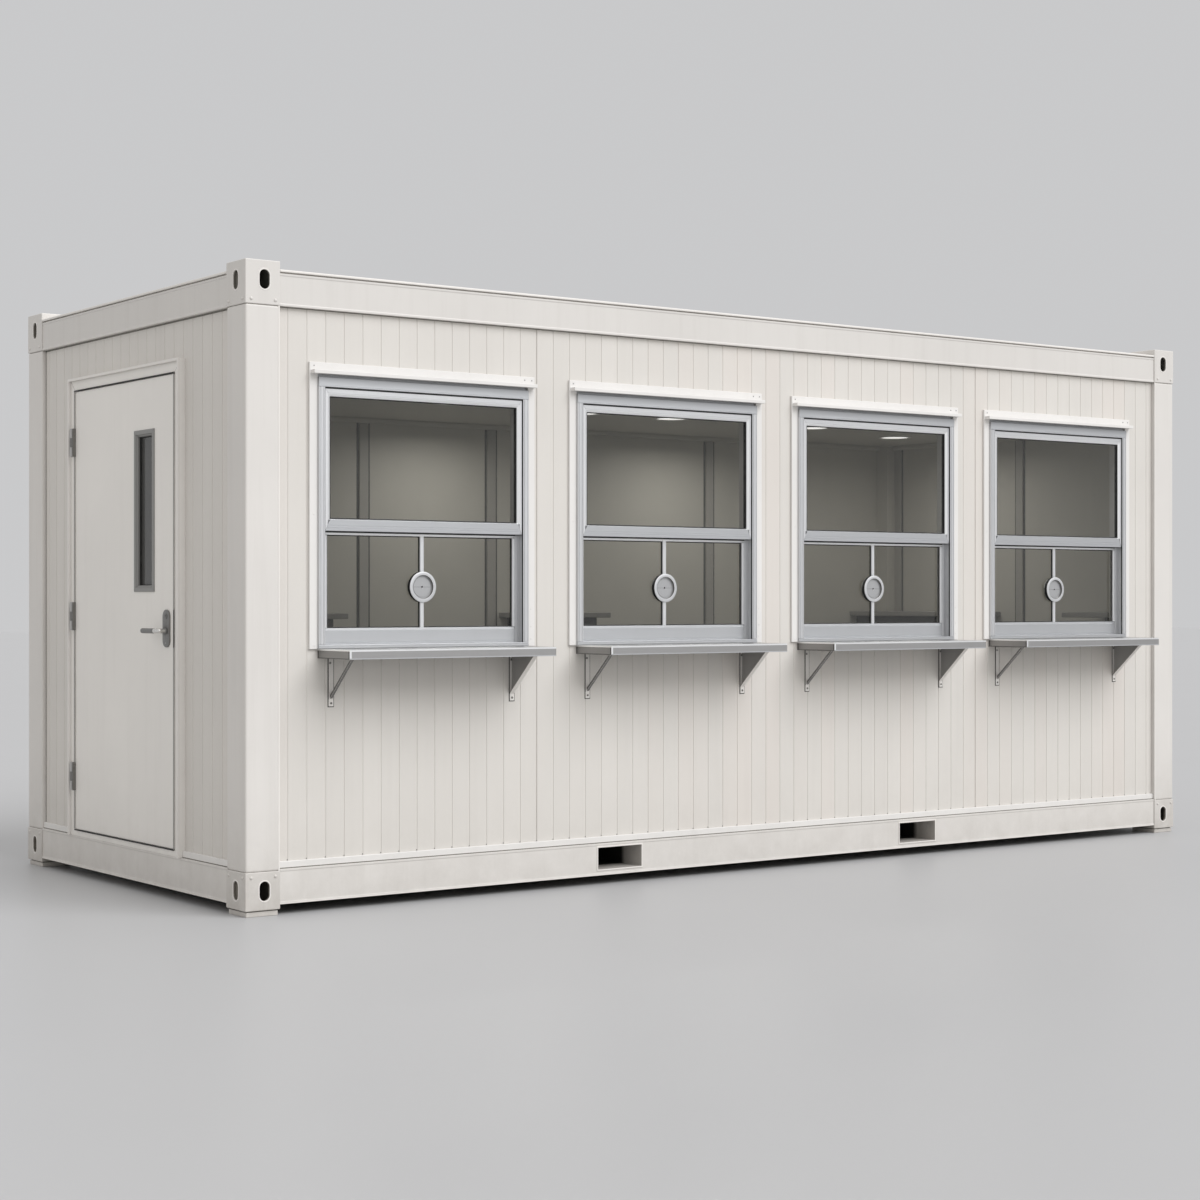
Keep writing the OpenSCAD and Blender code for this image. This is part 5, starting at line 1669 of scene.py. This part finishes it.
class BOOTH_OT_door(PieceOperator, bpy.types.Operator):
    """Door frame, leaf and vision panel"""

    bl_idname = "booth.door"
    bl_label = "Door"
    slot = "door_paint"

    def build(self):
        self.softened("door_frame", "door_frame_steel", "door", 0.0022)
        softened("door_leaf", "door_leaf_skin", "door", "door", 0.0025)
        self.vision_panel()
        self.corner_lines()
        self.frame_lines()

    def vision_panel(self):
        """Mitred bars with a bevelled bead on both faces, the pane and its seals."""
        bm, seals = bmesh.new(), bmesh.new()
        low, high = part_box("vision_frame")
        glass_low, glass_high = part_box("vision_glass")
        outer, inner = side_corners(low, high, low.x), side_corners(glass_low, glass_high, low.x)
        width, whole = glass_low.y - low.y, high.x - low.x
        flange, sleeve = 0.005, 0.010
        front = [(0, flange), (0, 0.0015), (0.0015, 0), (0.020, 0), (0.0225, 0.004)]
        front += [(width - 0.001, 0.009), (width, 0.011)]
        rear = [(across, whole - deep) for across, deep in reversed(front)]
        section = shares(front + rear + [(sleeve, whole - flange), (sleeve, flange)], width)
        mitred_ring(bm, outer, inner, [section] * 4, RIGHT, sizes().mitre_gap, [0] * 4)
        for face in bm.faces:
            if abs(face.normal.x) < 0.95 and face.calc_center_median().x > glass_high.x:
                face.material_index = 1
        deep, wide = 0.006, 0.004
        for x in (glass_low.x - deep, glass_high.x):
            flat, narrow = (side_corners(glass_low, glass_high, x, grow) for grow in (0.0, -wide))
            plain_ring(seals, flat, narrow, [(0, deep), (0, 0), (1, 0), (1, deep)], RIGHT)
        piece("vision_frame_bars", bm, ["vision", "door"], "door", ["vision_frame"])
        piece("vision_seals", seals, ["rubber"], "door")
        softened("vision_glass", "vision_pane", "vision_glass", "door", 0.0006, 1)

    def frame_lines(self):
        """The seal in the gap round the leaf, whose dark strips, black over the top and at the strike, also
        paint the gap's shade; the threshold strip; and the frame's rolled edge in the lighter edge paint, a
        painted highlight.
        """
        bm = bmesh.new()
        low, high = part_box("door_frame")
        leaf_low, leaf_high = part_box("door_leaf")
        strike_low, strike_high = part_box("strike_plate")
        x0, x1 = low.x - 0.0006, low.x + 0.002
        off, wide, rim = 0.0022, 0.0035, 0.012
        inner = (leaf_low.y - off, leaf_high.y + off)
        outer = (inner[0] - wide, inner[1] + wide)
        top, foot, head, rolled = leaf_high.z + off, leaf_low.z, high.z - rim, low.x - 0.009
        for x, y0, y1, z0, z1, material in (
            (x0, outer[0], inner[0], foot, top, 0),
            (x0, inner[1], outer[1], foot, top, 0),
            (x0, outer[0], outer[1], top, top + wide * 1.5, 2),
            (x0, inner[0], inner[1], foot - 0.0072, foot - 0.0012, 2),
            (x0 - 0.0004, outer[0] - 0.001, inner[0], strike_low.z, strike_high.z, 2),
            (rolled, low.y, low.y + rim, low.z, head, 1),
            (rolled, high.y - rim, high.y, low.z, head, 1),
            (rolled, low.y, high.y, head, high.z, 1),
        ):
            box(bm, (x, y0, z0), (x1, y1, z1), material)
        self.piece("door_frame_lines", bm, ["vision", "edge", "rubber"])

    def corner_lines(self):
        """Hairline mitres of the door frame's welded corners."""
        bm = bmesh.new()
        low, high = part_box("door_frame")
        leaf_low, leaf_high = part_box("door_leaf")
        gap, inset = 0.008, 0.010
        x = leaf_low.x - 0.0012
        for y_out, y_in in ((low.y + inset, leaf_low.y - gap), (high.y - inset, leaf_high.y + gap)):
            ends = Vector((x, y_out, high.z - inset)), Vector((x, y_in, leaf_high.z + gap))
            across = (ends[1] - ends[0]).cross(-RIGHT).normalized() * 0.0005
            deep = RIGHT * 0.0006
            prism(bm, *([p - across, p + across, p + across + deep, p - across + deep] for p in ends))
        self.piece("door_frame_mitres", bm, ["rubber"])


class BOOTH_OT_door_fittings(PieceOperator, bpy.types.Operator):
    """Hinges, strike plate, back plates and lever"""

    bl_idname = "booth.door_fittings"
    bl_label = "Door Fittings"
    slot = "handle_steel"

    def build(self):
        softened("hinge_frame_plates", "hinge_fixed_leaves", "bracket", "booth", 0.0005, 1, 35)
        softened("hinge_leaf_plates", "hinge_moving_leaves", "handle", "door", 0.0005, 1, 35)
        softened("strike_plate", "strike_plate_steel", "handle", "booth", 0.0003, 1)
        softened("handle_plates", "handle_back_plates", "handle", "door", 0.0022, 3, 40)
        self.hinge_screws()
        self.lock()
        self.lever()

    def hinge_screws(self):
        points = []
        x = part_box("door_frame")[0].x + 0.002
        for low, high in solids("hinge_frame_plates"):
            for share, inset in ((0.17, 0.010), (0.5, 0.017), (0.83, 0.010)):
                points.append((Vector((x, high.y - inset, low.z + (high.z - low.z) * share)), -RIGHT))
        heads("hinge_screws", "screw", points, 0.0038, "screw", "booth", "stainless")

    def lock(self):
        """Round lock cylinder above the lever on both plates, and the plates' screws."""
        bm = bmesh.new()
        low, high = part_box("handle_plates")
        y, z = (low.y + high.y) / 2, high.z - 0.030
        body = [(0.0125, -0.002), (0.0125, 0.0015), (0.0110, 0.003), (0.0092, 0.003)]
        body += [(0.0088, 0.0022), (0, 0.0022)]
        keyhole = [(0.0026, -0.0005), (0.0026, 0.0001), (0, 0.0001)]
        points = []
        for x, way in ((low.x, -1), (high.x, 1)):
            outward, front = facing(0, way), x + way * 0.0024
            lathe(bm, body, Vector((x, y, z)), outward, INWARD, 40)
            box(bm, (front - way * 0.0010, y - 0.0010, z - 0.0055), (front, y + 0.0010, z + 0.0035), 1)
            lathe(bm, keyhole, Vector((front, y, z + 0.0035)), outward, INWARD, 16, 1)
            points.append((Vector((x, y, low.z + 0.020)), outward))
        piece("lock_cylinders", bm, ["handle", "rubber"], "door", smooth=35)
        heads("plate_screws", "screw", points, 0.0040, "screw", "door", self.slot)

    def lever(self):
        """One swept bar a side: a neck on the spindle, a round elbow and an arm with a domed tip."""
        low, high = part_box("lever_handle")
        plates = [corner.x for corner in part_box("handle_plates")]
        z, radius = (low.z + high.z) / 2, (high.z - low.z) / 2
        y, bend, inset = low.y + radius, 0.022, 0.001
        bm = bmesh.new()
        end = inset + plates[1] - plates[0]
        spindle = [(0, -inset), (0.009, -inset), (0.009, end), (0, end)]
        lathe(bm, spindle, Vector((plates[0], y, z)), RIGHT, INWARD, 32)
        rose = [(0.0102, 0.0004), (0.0150, 0.0004), (0.0150, 0.0030), (0.0135, 0.0045), (0.0102, 0.0045)]
        for plate_x, way, arm_x in ((plates[0], -1, low.x + radius), (plates[1], 1, high.x - radius)):
            elbow = arm_x - way * bend
            path = [Vector((x, y, z)) for x in (plate_x + way * 0.0004, plate_x + way * 0.002, elbow)]
            for k in range(1, 9):
                a = math.pi / 2 * k / 8
                x = arm_x - way * bend * (1 - math.sin(a))
                path.append(Vector((x, y + bend * (1 - math.cos(a)), z)))
            reach = high.y - radius - y - bend
            path += [Vector((arm_x, y + bend + reach * share, z)) for share in (0.15, 0.35, 0.55, 0.75, 1.0)]
            self.sweep(bm, path, radius, y + bend * 0.8)
            lathe(bm, rose + rose[:1], Vector((plate_x, y, z)), facing(0, way), INWARD, 40)
        bmesh.ops.remove_doubles(bm, verts=bm.verts, dist=1e-6)
        piece("lever_bars", bm, ["handle", "lever"], "lever", ["lever_handle"], 40)

    def sweep(self, bm, path, radius, neck_highlight_end, steps=28, rounds=5):
        """A round bar along path that flattens towards its tip, with a domed end and a neck in a much
        lighter copy of the handle steel: a painted highlight.
        """
        quarter = math.pi / 2 / rounds
        points = path + [path[-1] + INWARD * (radius * math.sin(quarter * k)) for k in range(1, rounds + 1)]
        rings = []
        for i, point in enumerate(points[:-1]):
            along = (points[i + 1] - points[max(0, i - 1)]).normalized()
            across = along.cross(UP).normalized()
            grow = math.cos(quarter * max(0, i - len(path) + 1)) * radius
            flat, tall = (1.0, 0.92) if along.y < 0.9 else (0.86, 1.0)
            turns = (2 * math.pi * k / steps for k in range(steps))
            rings.append([
                bm.verts.new(point + across * math.cos(a) * grow * flat + UP * math.sin(a) * grow * tall)
                for a in turns
            ])
        end = bm.verts.new(points[-1])
        for a, b in zip(rings, rings[1:]):
            for k in range(steps):
                j = (k + 1) % steps
                face = bm.faces.new([a[k], a[j], b[j], b[k]])
                face.material_index = int(face.calc_center_median().y < neck_highlight_end)
        for k in range(steps):
            bm.faces.new([rings[-1][k], rings[-1][(k + 1) % steps], end])
        bm.faces.new(rings[0][::-1])


class BOOTH_OT_stage(PieceOperator, bpy.types.Operator):
    """Pale floor, even background, soft key lamp and camera"""

    bl_idname = "booth.stage"
    bl_label = "Stage"

    def build(self):
        st = bpy.context.scene.booth_stage
        self.floor(st)
        self.background(st)
        self.lamps(st)
        self.camera(st)
        bpy.context.scene.view_settings.view_transform = "Standard"

    def floor(self, st):
        half = st.floor_size / 2
        mesh = bpy.data.meshes.new("stage_floor")
        corners = [(-half, -half, 0), (half, -half, 0), (half, half, 0), (-half, half, 0)]
        mesh.from_pydata(corners, [], [(0, 1, 2, 3)])
        material, t, shader = new_material("Studio floor", 0.42, specular=0.35)
        cloud = t.noise(t.object_place(), 0.5, 3.0)
        seen = t.mix(cloud, rgba(st.floor_colour, 0.985), rgba(st.floor_colour, 1.015))
        soft = t.add("ShaderNodeLightPath").outputs["Is Diffuse Ray"]
        t.put(shader["Base Color"], t.mix(soft, seen, rgba(st.bounce_colour)))
        mesh.materials.append(material)
        new_object("stage_floor", mesh)

    def background(self, st):
        """A world that looks even to the camera and lights the booth softly."""
        world = bpy.data.worlds.new("Booth world")
        bpy.context.scene.world = world
        world.use_nodes = True
        t = Tree(world.node_tree)
        rays = t.add("ShaderNodeLightPath").outputs
        shown = t.math("MAXIMUM", rays["Is Camera Ray"], rays["Is Glossy Ray"])
        shown = t.math("MAXIMUM", shown, rays["Is Transmission Ray"])
        t.put(t.nodes["Background"].inputs["Color"], t.mix(shown, rgba(st.soft_colour), rgba(st.sky_colour)))

    def lamps(self, st):
        """The key lamp, and small lamps under the room's ceiling."""
        lamp = bpy.data.lights.new("Key", "SUN")
        lamp.energy = st.sun_strength
        lamp.angle = st.sun_angle
        towards = Vector((0.27, -0.67, 0.69))
        new_object("Key", lamp).rotation_euler = towards.to_track_quat("Z", "Y").to_euler()
        low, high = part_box("floor")
        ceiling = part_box("ceiling_lights")[0].z - 0.01
        for share, away, power in ROOM_LAMPS:
            lamp = bpy.data.lights.new("Room", "AREA")
            lamp.shape = "DISK"
            lamp.size = 0.16
            lamp.spread = math.radians(168)
            lamp.energy = st.room_light * power
            lamp.color = (1.0, 0.97, 0.92)
            new_object("Room", lamp).location = (low.x + (high.x - low.x) * share, high.y - away, ceiling)

    def camera(self, st):
        lens = bpy.data.cameras.new("Camera")
        lens.lens = st.lens
        lens.sensor_width = 36.0
        lens.clip_end = 400.0
        camera = new_object("Camera", lens)
        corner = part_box("lower_castings")[0]
        camera.location = corner + Vector((-4.370, -8.558, 1.336))
        camera.rotation_euler = (math.radians(90), 0, math.radians(-36.133))
        bpy.context.scene.camera = camera


class BOOTH_PT_panel(bpy.types.Panel):
    """Lists the booth's pieces and settings"""

    bl_idname = "BOOTH_PT_panel"
    bl_label = "Ticket Booth"
    bl_space_type = "VIEW_3D"
    bl_region_type = "UI"
    bl_category = "Booth"

    def draw(self, context):
        for group in (context.scene.booth_colours, context.scene.booth_sizes, context.scene.booth_stage):
            column = self.layout.column(align=True)
            for name in group.bl_rna.properties.keys():
                if name not in ("rna_type", "name"):
                    column.prop(group, name)
        for operator in OPERATORS:
            self.layout.operator(operator.bl_idname)


OPERATORS = (
    BOOTH_OT_stage, BOOTH_OT_steel_frame, BOOTH_OT_walls, BOOTH_OT_room, BOOTH_OT_windows,
    BOOTH_OT_voice_ports, BOOTH_OT_shelves, BOOTH_OT_door, BOOTH_OT_door_fittings,
)
CLASSES = (BoothColours, BoothSizes, BoothStage) + OPERATORS + (BOOTH_PT_panel,)


def register():
    for item in CLASSES:
        bpy.utils.register_class(item)
    bpy.types.Scene.booth_colours = PointerProperty(type=BoothColours)
    bpy.types.Scene.booth_sizes = PointerProperty(type=BoothSizes)
    bpy.types.Scene.booth_stage = PointerProperty(type=BoothStage)


def unregister():
    del bpy.types.Scene.booth_colours, bpy.types.Scene.booth_sizes, bpy.types.Scene.booth_stage
    for item in reversed(CLASSES):
        bpy.utils.unregister_class(item)


def main():
    register()
    make_materials()
    for operator in OPERATORS:
        group, name = operator.bl_idname.split(".")
        getattr(getattr(bpy.ops, group), name)()


if __name__ == "__main__":
    main()
